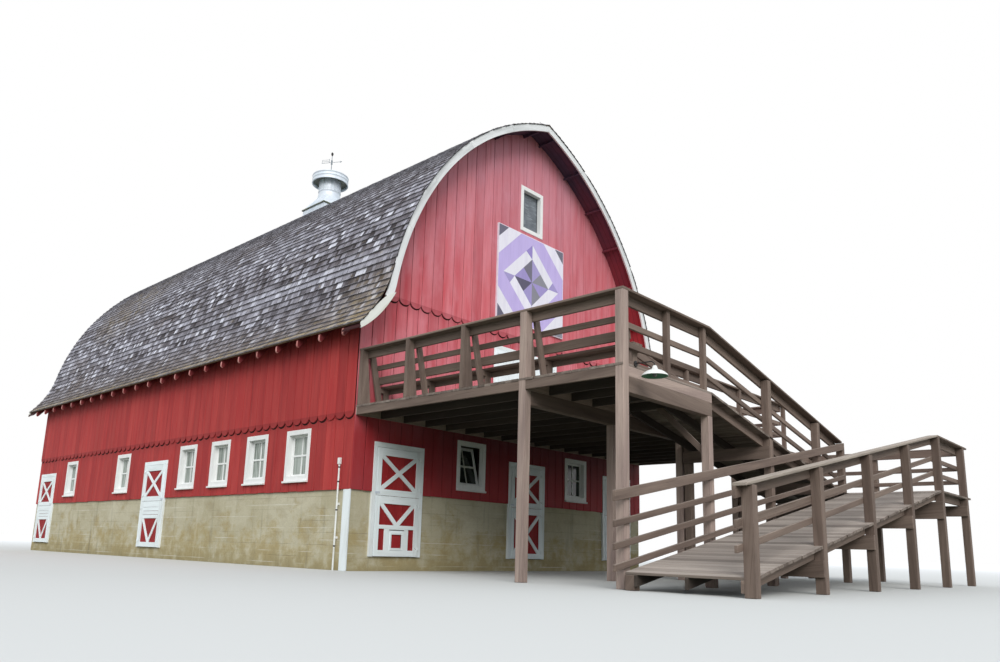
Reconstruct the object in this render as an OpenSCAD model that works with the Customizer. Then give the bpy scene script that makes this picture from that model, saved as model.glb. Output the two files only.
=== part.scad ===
// Gothic-arch timber barn with a raised deck and a switchback ramp.
// Millimetres. X runs along the gable front, Y runs back along the barn,
// Z up from the lowest ground. The origin is the centre of the barn's plan.

/* [Barn] */
// width of the barn over its walls
barn_w = 10170; // [8500:10:12500]
// length of the barn over its walls
barn_l = 17240; // [15000:10:26000]
// thickness of a wall
wall_t = 160; // [120:5:200]
// height of the door sills above the lowest ground
base_h = 270; // [240:10:500]
// height of the concrete wall above the door sills
found_h = 1270; // [1000:10:1320]
// height of the loft floor above the door sills
loft_z = 2870; // [2800:10:3150]
// thickness of the loft floor
loft_t = 240; // [180:10:250]
// how far the upper boards stand out over the lower ones
lap_t = 24; // [10:1:40]
// height of that step on the long walls
side_lap_z = 2760; // [2700:10:3200]
// height of that step on the gables
gable_lap_z = 5280; // [5250:10:5500]

/* [Roof] */
// height of the ridge above the door sills
ridge_z = 10860; // [10300:10:12000]
// how far inside the wall's face the arch starts
foot_in = 145; // [60:5:200]
// height of the arch's foot above the door sills
arch_foot_z = 5010; // [4900:10:5200]
// radius of each half of the pointed arch
arch_r = 7050; // [6200:50:9000]
// thickness of the roof
roof_t = 60; // [40:2:90]
// overhang of the eave beyond the side wall
eave_out = 460; // [300:10:600]
// height of the eave's top edge above the door sills
eave_z = 4360; // [4250:10:4500]
// overhang of the roof beyond the gable
rake_out = 634; // [400:2:900]
// thickness of the white board on the end of the roof
fascia_t = 40; // [20:1:60]
// depth of that board
fascia_h = 150; // [120:5:220]
// thickness of the boards under the overhang
soffit_t = 24; // [15:1:30]
// width of a rafter tail
tail_w = 60; // [40:5:100]
// depth of a rafter tail
tail_h = 140; // [80:5:200]
// distance between rafter tails
tail_pitch = 780; // [500:10:1200]
// height of the small finial at each end of the ridge
finial_h = 220; // [120:10:400]

/* [Windows] */
// width of a window opening in a side wall
side_win_w = 710; // [500:10:1000]
// width of a window opening in a gable
gable_win_w = 750; // [500:10:800]
// height of a window opening
win_h = 900; // [700:10:980]
// height of a window opening's bottom above the door sills
win_z = 1550; // [1500:5:1600]
// distance from the gable to the middle of the first side window
win_first = 1840; // [1500:10:2000]
// distance between side windows
win_pitch = 1605; // [1450:5:1640]
// distance from the near side door to the window behind it
win_far_a = 2080; // [1800:10:2600]
// distance from the far side door to the window before it
win_far_b = 2010; // [1600:10:2400]
// how far the first gable window is off the middle between its doors
win_off_a = 80; // [0:5:200]
// how far the second gable window is off the middle between its doors
win_off_b = 30; // [0:5:150]
// width of the white boards around a window
casing_w = 80; // [60:5:110]
// thickness of the white boards on the wall
casing_t = 28; // [18:1:40]
// thickness of the white boards that line a window opening
lining_t = 20; // [12:1:30]
// how far the sill stands out
sill_out = 75; // [50:5:120]
// thickness of a sill
sill_t = 40; // [25:1:60]
// depth from the wall's face to the sash
sash_in = 85; // [50:5:110]
// thickness of a window sash
sash_t = 40; // [25:1:45]
// width of a sash's frame
sash_w = 45; // [30:5:70]
// thickness of the glass
glass_t = 8; // [5:1:14]
// tilt of the first gable window's open sash in degrees
open_tilt = 14; // [0:1:25]
// width of the window in the gable's top
top_win_w = 710; // [500:10:900]
// height of the window in the gable's top
top_win_h = 1050; // [700:10:1150]
// height of that window's bottom above the door sills
top_win_z = 8150; // [8100:10:8400]
// how far that window is off the gable's middle
top_win_off = 65; // [0:5:200]
// width of the square banner on the gable
banner_w = 2550; // [1500:50:2800]
// height of the banner's bottom above the door sills
banner_z = 5590; // [5550:10:5650]
// how far the banner is off the gable's middle
banner_off = 60; // [0:5:300]

/* [Doors] */
// width of a door opening
door_w = 1140; // [900:10:1200]
// height of a door opening
door_h = 2130; // [2000:10:2250]
// width of the white boards of a door frame
jamb_w = 95; // [70:5:110]
// thickness of a door leaf
leaf_t = 50; // [35:1:60]
// gap around a door leaf
leaf_gap = 8; // [6:1:12]
// height of the split between the two leaves above the sill
split_z = 1180; // [1000:10:1300]
// distance from the corner to the middle of the first gable door
door_a_x = 1170; // [1000:10:1250]
// how far the second gable door is off the gable's middle
door_b_off = 105; // [0:5:200]
// distance from the gable to the middle of the near side door
side_door_a = 8390; // [8300:10:8700]
// distance from the back wall's concrete to the far side door's frame
far_door_in = 25; // [10:5:200]
// width of the double door on the deck
loft_door_w = 2180; // [1600:20:2600]
// height of the double door on the deck
loft_door_h = 1970; // [1800:10:2080]
// radius of a hinge pin
pin_r = 7; // [5:0.5:9]
// length of a hinge strap
strap_l = 90; // [60:5:300]
// height of a hinge strap
strap_h = 45; // [30:1:60]
// thickness of a hinge strap
strap_t = 6; // [4:0.5:7]

/* [Deck] */
// depth of the deck in front of the gable
deck_d = 4300; // [3500:20:5200]
// how far the deck's front corner stands out in front of the rest
nose_d = 1810; // [1600:10:2400]
// width of that corner along X
nose_w = 2640; // [2200:20:3200]
// thickness of a deck board
board_t = 40; // [30:1:50]
// depth of the deck's joists
joist_h = 150; // [120:5:200]
// distance between joists
joist_pitch = 600; // [400:10:800]
// width of a joist, rail or rim board
lumber_t = 45; // [35:1:60]
// size of a main post
post_s = 140; // [100:5:160]
// width of a rail post
rail_post_s = 90; // [70:5:120]
// depth of a beam
beam_h = 230; // [180:5:280]
// height of the handrail above the boards
rail_h = 1130; // [950:10:1200]
// width of the board on top of the rail
cap_w = 190; // [185:5:240]
// thickness of that board
cap_t = 38; // [25:1:50]
// depth of the board under it
face_h = 150; // [100:5:180]
// depth of a rail
rail_w = 90; // [60:5:120]
// height of the upper rail's top above the boards
row_a = 690; // [620:10:740]
// height of the lower rail's top above the boards
row_b = 390; // [300:10:450]
// height of the bench's seat above the boards
seat_h = 450; // [380:10:480]
// depth of the bench's seat
seat_d = 300; // [240:10:400]

/* [Ramps] */
// width of the lower ramp
ramp_w = 1790; // [1400:10:2000]
// gap between the two ramps
ramp_gap = 100; // [80:5:200]
// gap between the upper ramp and the deck
deck_gap = 40; // [20:5:100]
// height of the landing above the door sills
landing_z = 1640; // [1400:10:1900]
// distance from the barn's left corner to the landing
landing_x = 8710; // [8000:10:10500]
// length of the landing along X
landing_l = 2440; // [1800:20:2800]
// how far in from the landing's end its front post stands
end_in = 250; // [150:10:400]
// height of the lower ramp's foot above the door sills
foot_z = -30; // [-60:5:80]
// how far the lower ramp's foot reaches beyond the barn's corner
foot_out = 150; // [0:10:400]
// distance between the upper ramp's posts
high_bay = 2390; // [2200:10:2700]
// number of posts along the lower ramp
low_posts = 4; // [3:1:5]

/* [Ventilator] */
// distance from the front gable to the middle of the ventilator
vent_y = 8900; // [6000:20:11000]
// side of the ventilator's base
vent_base = 1190; // [1000:10:1500]
// height of that base above the ridge
vent_base_h = 390; // [250:10:500]
// height of the sloping skirt over it
skirt_h = 180; // [100:10:300]
// diameter of the ventilator's neck
neck_d = 720; // [600:10:900]
// height of the neck between the skirt and the hood
neck_h = 770; // [300:10:900]
// diameter of the ventilator's hood
hood_d = 1220; // [1000:10:1400]
// height of the hood's side
hood_h = 280; // [200:10:700]
// height of the hood's sloping top
hood_top_h = 200; // [100:10:300]
// height of the weathervane's rod above the hood
vane_h = 700; // [500:10:900]
// length of the weathervane's arrow
arrow_l = 760; // [500:10:1000]

/* [Lamp] */
// diameter of the lamp's shade
lamp_d = 380; // [250:10:500]
// distance of the lamp from the deck
lamp_out = 320; // [250:10:450]

/* [Hidden] */
$fn = 48;
fit = 1;
half_w = barn_w / 2;
// the concrete stands a little behind the siding
found_in = wall_t / 8;
found_t = wall_t + found_in * 2;
// heights where the wall over the doors starts, and where the solid upper wall starts
lintel_z = door_h + jamb_w;
upper_z = loft_z - loft_t - fit * 10;
door_gap = door_w + 2 * jamb_w;
door_b_x = half_w + door_b_off;
gable_doors = [door_a_x, door_b_x, barn_w - door_a_x];
gable_windows = [(door_a_x + door_b_x) / 2 + win_off_a, (door_b_x + barn_w - door_a_x) / 2 + win_off_b];
side_doors = [side_door_a, barn_l - found_in - found_t - far_door_in - door_gap / 2];
near_windows = [for (i = [0 : 3]) win_first + i * win_pitch];
side_windows = concat(near_windows, [side_doors[0] + win_far_a, side_doors[1] - win_far_b]);
top_win_x = half_w + top_win_off;
// the arch and the flare below it: x is measured from the middle of the barn, t is depth inside the roof
eave_x = half_w + eave_out;
foot_x = half_w - foot_in;
rise = ridge_z - arch_foot_z;
chord = norm([foot_x, rise]);
arch_back = sqrt(arch_r * arch_r - chord * chord / 4);
arch_c = [foot_x / 2, arch_foot_z + rise / 2] - arch_back / chord * [rise, foot_x];
flare = [eave_x - foot_x, eave_z - arch_foot_z] / norm([eave_x - foot_x, eave_z - arch_foot_z]);
in_arch = (arch_c - [foot_x, arch_foot_z]) / arch_r;
in_flare = [flare[1], -flare[0]];
in_mid = (in_arch + in_flare) / norm(in_arch + in_flare);
function foot(t) = [foot_x, arch_foot_z] + in_mid * t / (in_mid * in_arch);
function flare_z(x, t) = arch_foot_z + (x - foot_x) * flare[1] / flare[0] - t / flare[0];
under_t = roof_t + fit;
roof_y = rake_out - fascia_t;
tail_count = floor((barn_l - tail_w) / tail_pitch);
tail_start = (barn_l - tail_count * tail_pitch - tail_w) / 2;
tail_in = tail_w;
// door leaves, measured from the hinge edge
leaf_w = door_w - 2 * leaf_gap;
eye_r = pin_r * 2 - fit;
pin_x = -leaf_gap / 2;
pin_y = -eye_r - 2 * fit;
// deck and ramps
deck_z = loft_z;
frame_z = deck_z - board_t;
joist_z = frame_z - joist_h;
beam_z = joist_z - beam_h;
front_y = -deck_d - nose_d;
high_in_y = -deck_d - deck_gap;
low_in_y = front_y - ramp_gap;
low_out_y = low_in_y - ramp_w;
far_post_y = high_in_y - post_s;
landing_end = landing_x + landing_l;
foot_left = -foot_out;
function high_z(x) = deck_z + (landing_z - deck_z) * (x - nose_w) / (landing_x - nose_w);
function low_z(x) = foot_z + (landing_z - foot_z) * (x - foot_left) / (landing_x - foot_left);
function share(a, b, n) = [for (i = [0 : n - 1]) a + i * (b - a) / n];
high_post_x = [for (i = [1, 2]) nose_w - post_s + i * high_bay];
low_post_x = share(foot_left, landing_x, low_posts);
deck_post_x = [for (i = [1 : 4]) i * (barn_w - post_s * 3) / 4];
bench_y = [for (i = [1, 2]) -i * deck_d / 3 - rail_post_s / 2];
side_post_y = concat([-rail_post_s - board_t], bench_y);
cap_over = (cap_w - post_s - lumber_t) / 2;
lamp_x = post_s * 2.2;

module at_corner() {
    translate([-half_w, -barn_l / 2, base_h]) children();
}

module block(x0, y0, z0, x1, y1, z1) {
    translate([x0, y0, z0]) cube([x1 - x0, y1 - y0, z1 - z0]);
}

// a flat shape in X and Z carried along Y
module along_y(y0, y1) {
    translate([0, y1, 0]) rotate([90, 0, 0]) linear_extrude(y1 - y0) children();
}

module to_right() {
    translate([barn_w, 0, 0]) mirror([1, 0, 0]) children();
}

module to_back() {
    translate([0, barn_l, 0]) mirror([0, 1, 0]) children();
}

module both_gables() {
    children();
    to_back() children();
}

module both_sides() {
    children();
    to_right() children();
}

// what lies under the flared part of the roof at depth t, as wide as x, from x0 near the middle of the barn
module under_flare(x, t, x0 = 0) {
    top = foot(t) - flare * foot_in;
    polygon([[x0, -t], [x, -t], [x, flare_z(x, t)], top, [x0, top[1]]]);
}

module under_half(x, t, x0 = 0) {
    intersection() {
        translate(arch_c) circle(r = arch_r - t, $fn = 720);
        translate([x0, foot(t)[1] - foot_in]) square([foot_x + foot_in, rise + foot_in * 2]);
    }
    under_flare(x, t, x0);
}

module left_half() {
    translate([half_w, 0]) mirror([1, 0]) children();
}

module under_roof(x, t) {
    left_half() under_half(x, t);
    translate([half_w, 0]) under_half(x, t);
}

// the left half of a curved layer of the roof between two depths
module roof_layer(t0, t1) {
    left_half() difference() {
        under_half(eave_x, t0);
        under_half(eave_x + fit, t1, -fit);
    }
}

// pieces of a wall between its doors: from, to
function runs(start, end, doors) = [for (i = [0 : len(doors)])
    [i == 0 ? start : doors[i - 1] + door_gap / 2, i == len(doors) ? end : doors[i] - door_gap / 2]];

module window_hole(x, w, z, h) {
    block(x - w / 2, -wall_t, z, x + w / 2, 2 * wall_t, z + h);
}

// turns a piece of the gable's face onto the left wall, at its distance along Y
module on_side() {
    multmatrix([[0, 1, 0, 0], [1, 0, 0, 0], [0, 0, 1, 0], [0, 0, 0, 1]]) children();
}

module gable_foundation() {
    for (r = runs(found_in, barn_w - found_in, gable_doors))
        block(r[0], found_in, 0, r[1], found_in + found_t, found_h);
}

module side_foundation() {
    y0 = found_in + found_t;
    for (r = runs(y0 + fit, barn_l - y0 - fit, side_doors))
        block(found_in, r[0], 0, found_in + found_t, r[1], found_h);
}

module ground_floor() {
    color("gray") at_corner() block(found_in, found_in, -base_h, barn_w - found_in, barn_l - found_in, 0);
}

module foundation_gables() {
    color("tan") at_corner() both_gables() gable_foundation();
}

module foundation_sides() {
    color("tan") at_corner() both_sides() side_foundation();
}

module gable_wall() {
    difference() {
        for (r = runs(0, barn_w, gable_doors)) block(r[0], 0, found_h, r[1], wall_t, upper_z);
        for (x = gable_windows) window_hole(x, gable_win_w, win_z, win_h);
    }
}

module side_wall() {
    difference() {
        for (r = runs(wall_t, barn_l - wall_t, side_doors)) block(0, r[0], found_h, wall_t, r[1], upper_z);
        on_side() for (y = side_windows) window_hole(y, side_win_w, win_z, win_h);
    }
}

module front_wall() {
    color("firebrick") at_corner() gable_wall();
}

module back_wall() {
    color("firebrick") at_corner() to_back() gable_wall();
}

module left_wall() {
    color("firebrick") at_corner() side_wall();
}

module right_wall() {
    color("firebrick") at_corner() to_right() side_wall();
}

module walls_over_doors() {
    color("firebrick") at_corner() {
        both_gables() for (x = gable_doors)
            block(x - door_gap / 2, 0, lintel_z, x + door_gap / 2, wall_t, upper_z);
        both_sides() for (y = side_doors)
            block(0, y - door_gap / 2, lintel_z, wall_t, y + door_gap / 2, upper_z);
    }
}

// the gable above the ground floor, its upper boards standing out by lap_t
module gable_top() {
    difference() {
        along_y(0, wall_t) difference() {
            under_roof(half_w, under_t);
            translate([0, -upper_z]) square([barn_w, upper_z * 2]);
        }
        window_hole(top_win_x, top_win_w, top_win_z, top_win_h);
        children();
    }
    difference() {
        along_y(-lap_t, 0) difference() {
            under_roof(half_w, under_t);
            translate([0, -gable_lap_z]) square([barn_w, gable_lap_z * 2]);
        }
        window_hole(top_win_x, top_win_w, top_win_z, top_win_h);
    }
}

loft_door_out = loft_door_w / 2 + jamb_w;

module front_gable() {
    color("firebrick") at_corner() gable_top()
        block(half_w - loft_door_out, -wall_t, loft_z, half_w + loft_door_out, 2 * wall_t,
            loft_z + loft_door_h + jamb_w);
}

module back_gable() {
    color("firebrick") at_corner() to_back() gable_top();
}

module side_top() {
    along_y(wall_t, barn_l - wall_t) intersection() {
        left_half() under_flare(half_w, under_t);
        translate([0, upper_z]) square([wall_t, foot(under_t)[1] - upper_z]);
    }
    along_y(0, barn_l) intersection() {
        left_half() under_flare(half_w + lap_t, under_t);
        translate([-lap_t, side_lap_z]) square([lap_t, foot(under_t)[1] - side_lap_z]);
    }
}

module left_wall_top() {
    color("firebrick") at_corner() side_top();
}

module right_wall_top() {
    color("firebrick") at_corner() to_right() side_top();
}

module loft_floor() {
    color("peru") at_corner() block(wall_t, wall_t, loft_z - loft_t, barn_w - wall_t, barn_l - wall_t, loft_z);
}

module roof_side() {
    along_y(-roof_y, barn_l + roof_y) roof_layer(0, roof_t);
}

module roof_left() {
    color("dimgray") at_corner() roof_side();
}

module roof_right() {
    color("dimgray") at_corner() to_right() roof_side();
}

module rake_boards() {
    both_sides() along_y(-rake_out, -roof_y) roof_layer(0, fascia_h);
}

module rake_boards_front() {
    color("white") at_corner() rake_boards();
}

module rake_boards_back() {
    color("white") at_corner() to_back() rake_boards();
}

module soffit() {
    both_sides() along_y(-roof_y, -lap_t - fit) roof_layer(under_t, under_t + soffit_t);
}

module soffit_front() {
    color("firebrick") at_corner() soffit();
}

module soffit_back() {
    color("firebrick") at_corner() to_back() soffit();
}

// tails run under the flared eave, out from the wall
module tails() {
    x0 = half_w + lap_t;
    x1 = eave_x - tail_in;
    section = [[half_w - x0, flare_z(x0, under_t)], [half_w - x1, flare_z(x1, under_t)],
        [half_w - x1, flare_z(x1, under_t) - tail_h], [half_w - x0, flare_z(x0, under_t) - tail_h * 1.2]];
    for (i = [0 : tail_count]) along_y(tail_start + i * tail_pitch, tail_start + i * tail_pitch + tail_w)
        polygon(section);
}

module rafter_tails() {
    color("sienna") at_corner() both_sides() tails();
}

module ridge_finials() {
    color("dimgray") at_corner() both_gables() translate([half_w, -rake_out / 2, ridge_z + fit]) {
        cylinder(r = finial_h / 14, h = finial_h / 2);
        translate([0, 0, finial_h / 2]) sphere(r = finial_h / 5);
        cylinder(r1 = finial_h / 14, r2 = finial_h / 40, h = finial_h);
    }
}

module jambs(w, z0, h) {
    for (x = [-w / 2 - jamb_w, w / 2]) block(x, -casing_t, z0, x + jamb_w, wall_t, z0 + h);
}

module head(w, z0, h) {
    block(-w / 2 - jamb_w, -casing_t, z0 + h, w / 2 + jamb_w, wall_t, z0 + h + jamb_w);
}

// puts a piece made for one door at each of the building's doors
module at_doors() {
    both_gables() for (x = gable_doors) translate([x, 0, 0]) children();
    both_sides() on_side() for (y = side_doors) translate([y, 0, 0]) children();
}

module door_jambs() {
    color("white") at_corner() {
        at_doors() jambs(door_w, 0, door_h);
        translate([half_w, 0, 0]) jambs(loft_door_w, loft_z, loft_door_h);
    }
}

module door_heads() {
    color("white") at_corner() {
        at_doors() head(door_w, 0, door_h);
        translate([half_w, 0, 0]) head(loft_door_w, loft_z, loft_door_h);
    }
}

// white boards round a window's opening, and those that line it
module window_frame(w, h, depth) {
    difference() {
        union() {
            block(-w / 2 - casing_w, -casing_t, -casing_w, w / 2 + casing_w, 0, h + casing_w);
            block(-w / 2, -casing_t, 0, w / 2, depth, h);
        }
        block(lining_t - w / 2, -wall_t, lining_t, w / 2 - lining_t, wall_t * 2, h - lining_t);
    }
}

// puts a piece made for a window of a given width at each window
module at_gable_windows() {
    both_gables() for (x = gable_windows) translate([x, 0, win_z]) children();
}

module at_side_windows() {
    both_sides() on_side() for (y = side_windows) translate([y, 0, win_z]) children();
}

module window_frames() {
    color("white") at_corner() {
        at_gable_windows() window_frame(gable_win_w, win_h, sash_in);
        at_side_windows() window_frame(side_win_w, win_h, sash_in);
    }
}

module sill(w) {
    block(-w / 2 - casing_w, -sill_out, -casing_w - sill_t, w / 2 + casing_w, 0, -casing_w - fit);
}

module window_sills() {
    color("white") at_corner() {
        at_gable_windows() sill(gable_win_w);
        at_side_windows() sill(side_win_w);
    }
}

sash_y = sash_in + fit;

module sash(w) {
    difference() {
        block(fit - w / 2, sash_y, fit, w / 2 - fit, sash_y + sash_t, win_h - fit);
        block(lining_t + sash_w - w / 2, 0, lining_t + sash_w, w / 2 - lining_t - sash_w, wall_t,
            win_h - lining_t - sash_w);
    }
}

module pane(w) {
    y = sash_y + sash_t / 2 - glass_t / 2;
    block(lining_t + sash_w - w / 2, y, lining_t + sash_w, w / 2 - lining_t - sash_w, y + glass_t,
        win_h - lining_t - sash_w);
}

// the first gable window's sash hangs open, its top leaning in
module opened() {
    translate([0, sash_y + sash_t, fit * 2]) rotate([-open_tilt, 0, 0]) translate([0, -sash_y - sash_t, 0])
        children();
}

module at_shut_windows() {
    translate([gable_windows[1], 0, win_z]) children();
    to_back() for (x = gable_windows) translate([x, 0, win_z]) children();
}

module window_sashes() {
    color("white") at_corner() {
        translate([gable_windows[0], 0, win_z]) opened() sash(gable_win_w);
        at_shut_windows() sash(gable_win_w);
        at_side_windows() sash(side_win_w);
    }
}

module window_glass() {
    color("lightblue") at_corner() {
        translate([gable_windows[0], 0, win_z]) opened() pane(gable_win_w);
        at_shut_windows() pane(gable_win_w);
        at_side_windows() pane(side_win_w);
    }
}

module top_windows() {
    color("white") at_corner() both_gables() translate([top_win_x, -lap_t, top_win_z])
        window_frame(top_win_w, top_win_h, sash_in);
}

// the wire screen that closes the window in the gable's top
module top_screens() {
    color("dimgray") at_corner() both_gables()
        block(top_win_x - top_win_w / 2 + fit, sash_y, top_win_z + fit, top_win_x + top_win_w / 2 - fit,
            sash_y + sash_t / 2, top_win_z + top_win_h - fit);
}

// two leaves that meet in the middle of the deck's doorway
module deck_doors() {
    color("red") at_corner() translate([half_w, 0, 0]) for (s = [0, 1]) mirror([s, 0, 0])
        block(leaf_gap / 2, -casing_t, loft_z + leaf_gap, loft_door_w / 2, leaf_t - casing_t,
            loft_z + loft_door_h - leaf_gap);
}

module shut_leaf() {
    block(-door_w / 2, -casing_t, leaf_gap, door_w / 2, leaf_t - casing_t, door_h - leaf_gap);
}

// the doors that stay shut: the right gable door, and those of the back and right walls
module fixed_doors() {
    color("red") at_corner() {
        translate([barn_w - door_a_x, 0, 0]) shut_leaf();
        to_back() for (x = gable_doors) translate([x, 0, 0]) shut_leaf();
        to_right() on_side() for (y = side_doors) translate([y, 0, 0]) shut_leaf();
    }
}

// heights of the two hinges of a leaf that runs from z0 to z1
function hinge_z(z0, z1) = [z0 + strap_h * 3, z1 - strap_h * 4];
upper_z0 = split_z + leaf_gap / 2;
upper_z1 = door_h - leaf_gap;
lower_z0 = leaf_gap;
lower_z1 = split_z - leaf_gap / 2;

// one leaf, hinge edge at x = 0, lying along +X, outer face at y = 0
module leaf(z0, z1) {
    block(0, 0, z0, leaf_w, leaf_t, z1);
    for (z = hinge_z(z0, z1)) difference() {
        union() {
            block(pin_x, -strap_t, z, strap_l, 0, z + strap_h);
            translate([pin_x, pin_y, z]) cylinder(r = eye_r, h = strap_h);
        }
        translate([pin_x, pin_y, z - fit]) cylinder(r = pin_r + fit, h = strap_h + 2 * fit);
    }
}

// the pin of one hinge and its bracket on the jamb, under the strap's eye
module hinge_pin(z) {
    z0 = z - leaf_gap - pin_r;
    translate([pin_x, pin_y, z0]) cylinder(r = pin_r, h = leaf_gap + pin_r * 2 + strap_h);
    block(pin_x - jamb_w / 2, pin_y - pin_r, z0, pin_x + pin_r, pin_y + pin_r, z0 + pin_r);
    block(pin_x - jamb_w / 2, pin_y - pin_r, z0, -leaf_gap - fit, 0, z0 + pin_r);
}

module upper_leaf() {
    leaf(upper_z0, upper_z1);
}

module lower_leaf() {
    leaf(lower_z0, lower_z1);
}

// the hinge edge of a leaf in the gable is its right one
module in_gable(x) {
    translate([x + leaf_w / 2, -casing_t, 0]) mirror([1, 0, 0]) children();
}

// the hinge edge of a leaf in the left wall is its far one
module in_side(y) {
    translate([-casing_t, y + leaf_w / 2, 0]) rotate([0, 0, -90]) children();
}

module front_left_upper_leaf() {
    color("red") at_corner() in_gable(gable_doors[0]) upper_leaf();
}

module front_left_lower_leaf() {
    color("red") at_corner() in_gable(gable_doors[0]) lower_leaf();
}

module front_middle_upper_leaf() {
    color("red") at_corner() in_gable(gable_doors[1]) upper_leaf();
}

module front_middle_lower_leaf() {
    color("red") at_corner() in_gable(gable_doors[1]) lower_leaf();
}

module side_near_upper_leaf() {
    color("red") at_corner() in_side(side_doors[0]) upper_leaf();
}

module side_near_lower_leaf() {
    color("red") at_corner() in_side(side_doors[0]) lower_leaf();
}

module side_far_upper_leaf() {
    color("red") at_corner() in_side(side_doors[1]) upper_leaf();
}

module side_far_lower_leaf() {
    color("red") at_corner() in_side(side_doors[1]) lower_leaf();
}

module hinge_pins() {
    heights = concat(hinge_z(upper_z0, upper_z1), hinge_z(lower_z0, lower_z1));
    color("dimgray") at_corner() for (z = heights) {
        for (i = [0, 1]) in_gable(gable_doors[i]) hinge_pin(z);
        for (y = side_doors) in_side(y) hinge_pin(z);
    }
}

vent_z = ridge_z + vent_base_h;
hood_z = vent_z + skirt_h + neck_h;
vane_r = pin_r * 2;
sleeve_h = vane_h / 5;
// how far up its rod the vane turns
vane_up = vane_h * 0.42;

module ventilator_base() {
    color("silver") at_corner() {
        difference() {
            block(half_w - vent_base / 2, vent_y - vent_base / 2, ridge_z - vent_base / 2,
                half_w + vent_base / 2, vent_y + vent_base / 2, vent_z);
            along_y(vent_y - vent_base, vent_y + vent_base) under_roof(half_w, -fit);
        }
        translate([half_w, vent_y, vent_z]) cylinder(d1 = vent_base - lumber_t, d2 = neck_d, h = skirt_h);
    }
}

// neck, hollow-bottomed hood and the rod that the weathervane turns on
module ventilator_hood() {
    lip = hood_h / 3;
    sheet = glass_t * 3;
    color("silver") at_corner() translate([half_w, vent_y, 0]) {
        translate([0, 0, vent_z + skirt_h + fit]) cylinder(d = neck_d, h = neck_h + lip);
        difference() {
            translate([0, 0, hood_z]) cylinder(d = hood_d, h = hood_h);
            translate([0, 0, hood_z - fit]) cylinder(d = hood_d - 2 * sheet, h = lip + fit);
        }
        translate([0, 0, hood_z + hood_h]) cylinder(d1 = hood_d, d2 = neck_d / 4, h = hood_top_h);
        translate([0, 0, hood_z + hood_h]) cylinder(r = vane_r, h = hood_top_h + vane_h);
        translate([0, 0, hood_z + hood_h + hood_top_h + vane_h]) sphere(r = vane_r * 3);
    }
}

module weathervane() {
    z = hood_z + hood_h + hood_top_h + vane_up;
    tail = arrow_l / 6;
    color("dimgray") at_corner() translate([half_w, vent_y, z]) rotate([0, 0, -60]) {
        difference() {
            union() {
                cylinder(r = vane_r * 2.2, h = sleeve_h);
                translate([-arrow_l / 2, 0, sleeve_h / 2]) rotate([0, 90, 0]) cylinder(r = pin_r, h = arrow_l);
            }
            translate([0, 0, -fit]) cylinder(r = vane_r + pin_r, h = sleeve_h + 2 * fit);
        }
        block(-arrow_l / 2, -strap_t / 2, sleeve_h / 2 - tail / 2, tail - arrow_l / 2, strap_t / 2,
            sleeve_h / 2 + tail / 2);
        translate([arrow_l / 2 - tail / 2, 0, sleeve_h / 2]) rotate([0, 90, 0])
            cylinder(r1 = tail / 2.5, r2 = fit, h = tail / 2);
    }
}

// a pipe up the wall near the corner, its box and the straps that hold it
module conduit() {
    r = post_s / 8;
    z1 = found_h * 1.37;
    x = -casing_t * 1.2;
    y = wall_t * 2.2;
    color("white") at_corner() {
        translate([x, y, -base_h]) cylinder(r = r, h = z1 + base_h);
        block(x - r * 1.4, y - r * 2, z1, 0, y + r * 2, z1 + r * 7);
        for (z = [found_h / 4, found_h * 0.75]) block(x, y - r * 1.2, z, found_in, y + r * 1.2, z + strap_h);
    }
}

module corner_board() {
    color("white") at_corner() block(-found_in / 2, 0, -base_h, found_in, wall_t * 1.3, found_h);
}

module banner() {
    x = half_w + banner_off - banner_w / 2;
    color("lavender") at_corner() block(x, -lap_t - lining_t * 3.5, banner_z, x + banner_w, -lap_t,
        banner_z + banner_w * 0.93);
}

// a post from the ground up to z1, its left outer corner at x, y
module post(x, y, z1) {
    block(x, y, -base_h, x + post_s, y + post_s, z1);
}

module long_deck_posts() {
    for (y = [front_y, -deck_d]) post(0, y, deck_z + rail_h - cap_t);
}

module deck_boards() {
    color("saddlebrown") at_corner() difference() {
        union() {
            block(0, -deck_d, frame_z, barn_w, -fit, deck_z);
            block(0, front_y, frame_z, nose_w, -deck_d - fit, deck_z);
        }
        long_deck_posts();
    }
}

module deck_joists() {
    color("saddlebrown") at_corner() {
        y1 = -lumber_t;
        block(0, -deck_d + post_s, joist_z, lumber_t, y1, frame_z);
        for (x = [joist_pitch : joist_pitch : barn_w - joist_pitch / 2])
            block(x, -deck_d + lumber_t, joist_z, x + lumber_t, y1, frame_z);
        block(barn_w - lumber_t, -deck_d + lumber_t, joist_z, barn_w, y1, frame_z);
        block(0, front_y + post_s, joist_z, lumber_t, -deck_d - fit, frame_z);
        for (x = [joist_pitch : joist_pitch : nose_w - joist_pitch / 2])
            block(x, front_y + lumber_t, joist_z, x + lumber_t, -deck_d, frame_z);
        block(nose_w - lumber_t, front_y + lumber_t, joist_z, nose_w, -deck_d, frame_z);
    }
}

module deck_rims() {
    color("saddlebrown") at_corner() {
        block(post_s, front_y, joist_z, nose_w, front_y + lumber_t, frame_z);
        block(post_s, -deck_d, joist_z, barn_w, -deck_d + lumber_t, frame_z);
        block(0, -lumber_t, joist_z, barn_w, -fit, frame_z);
    }
}

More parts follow.
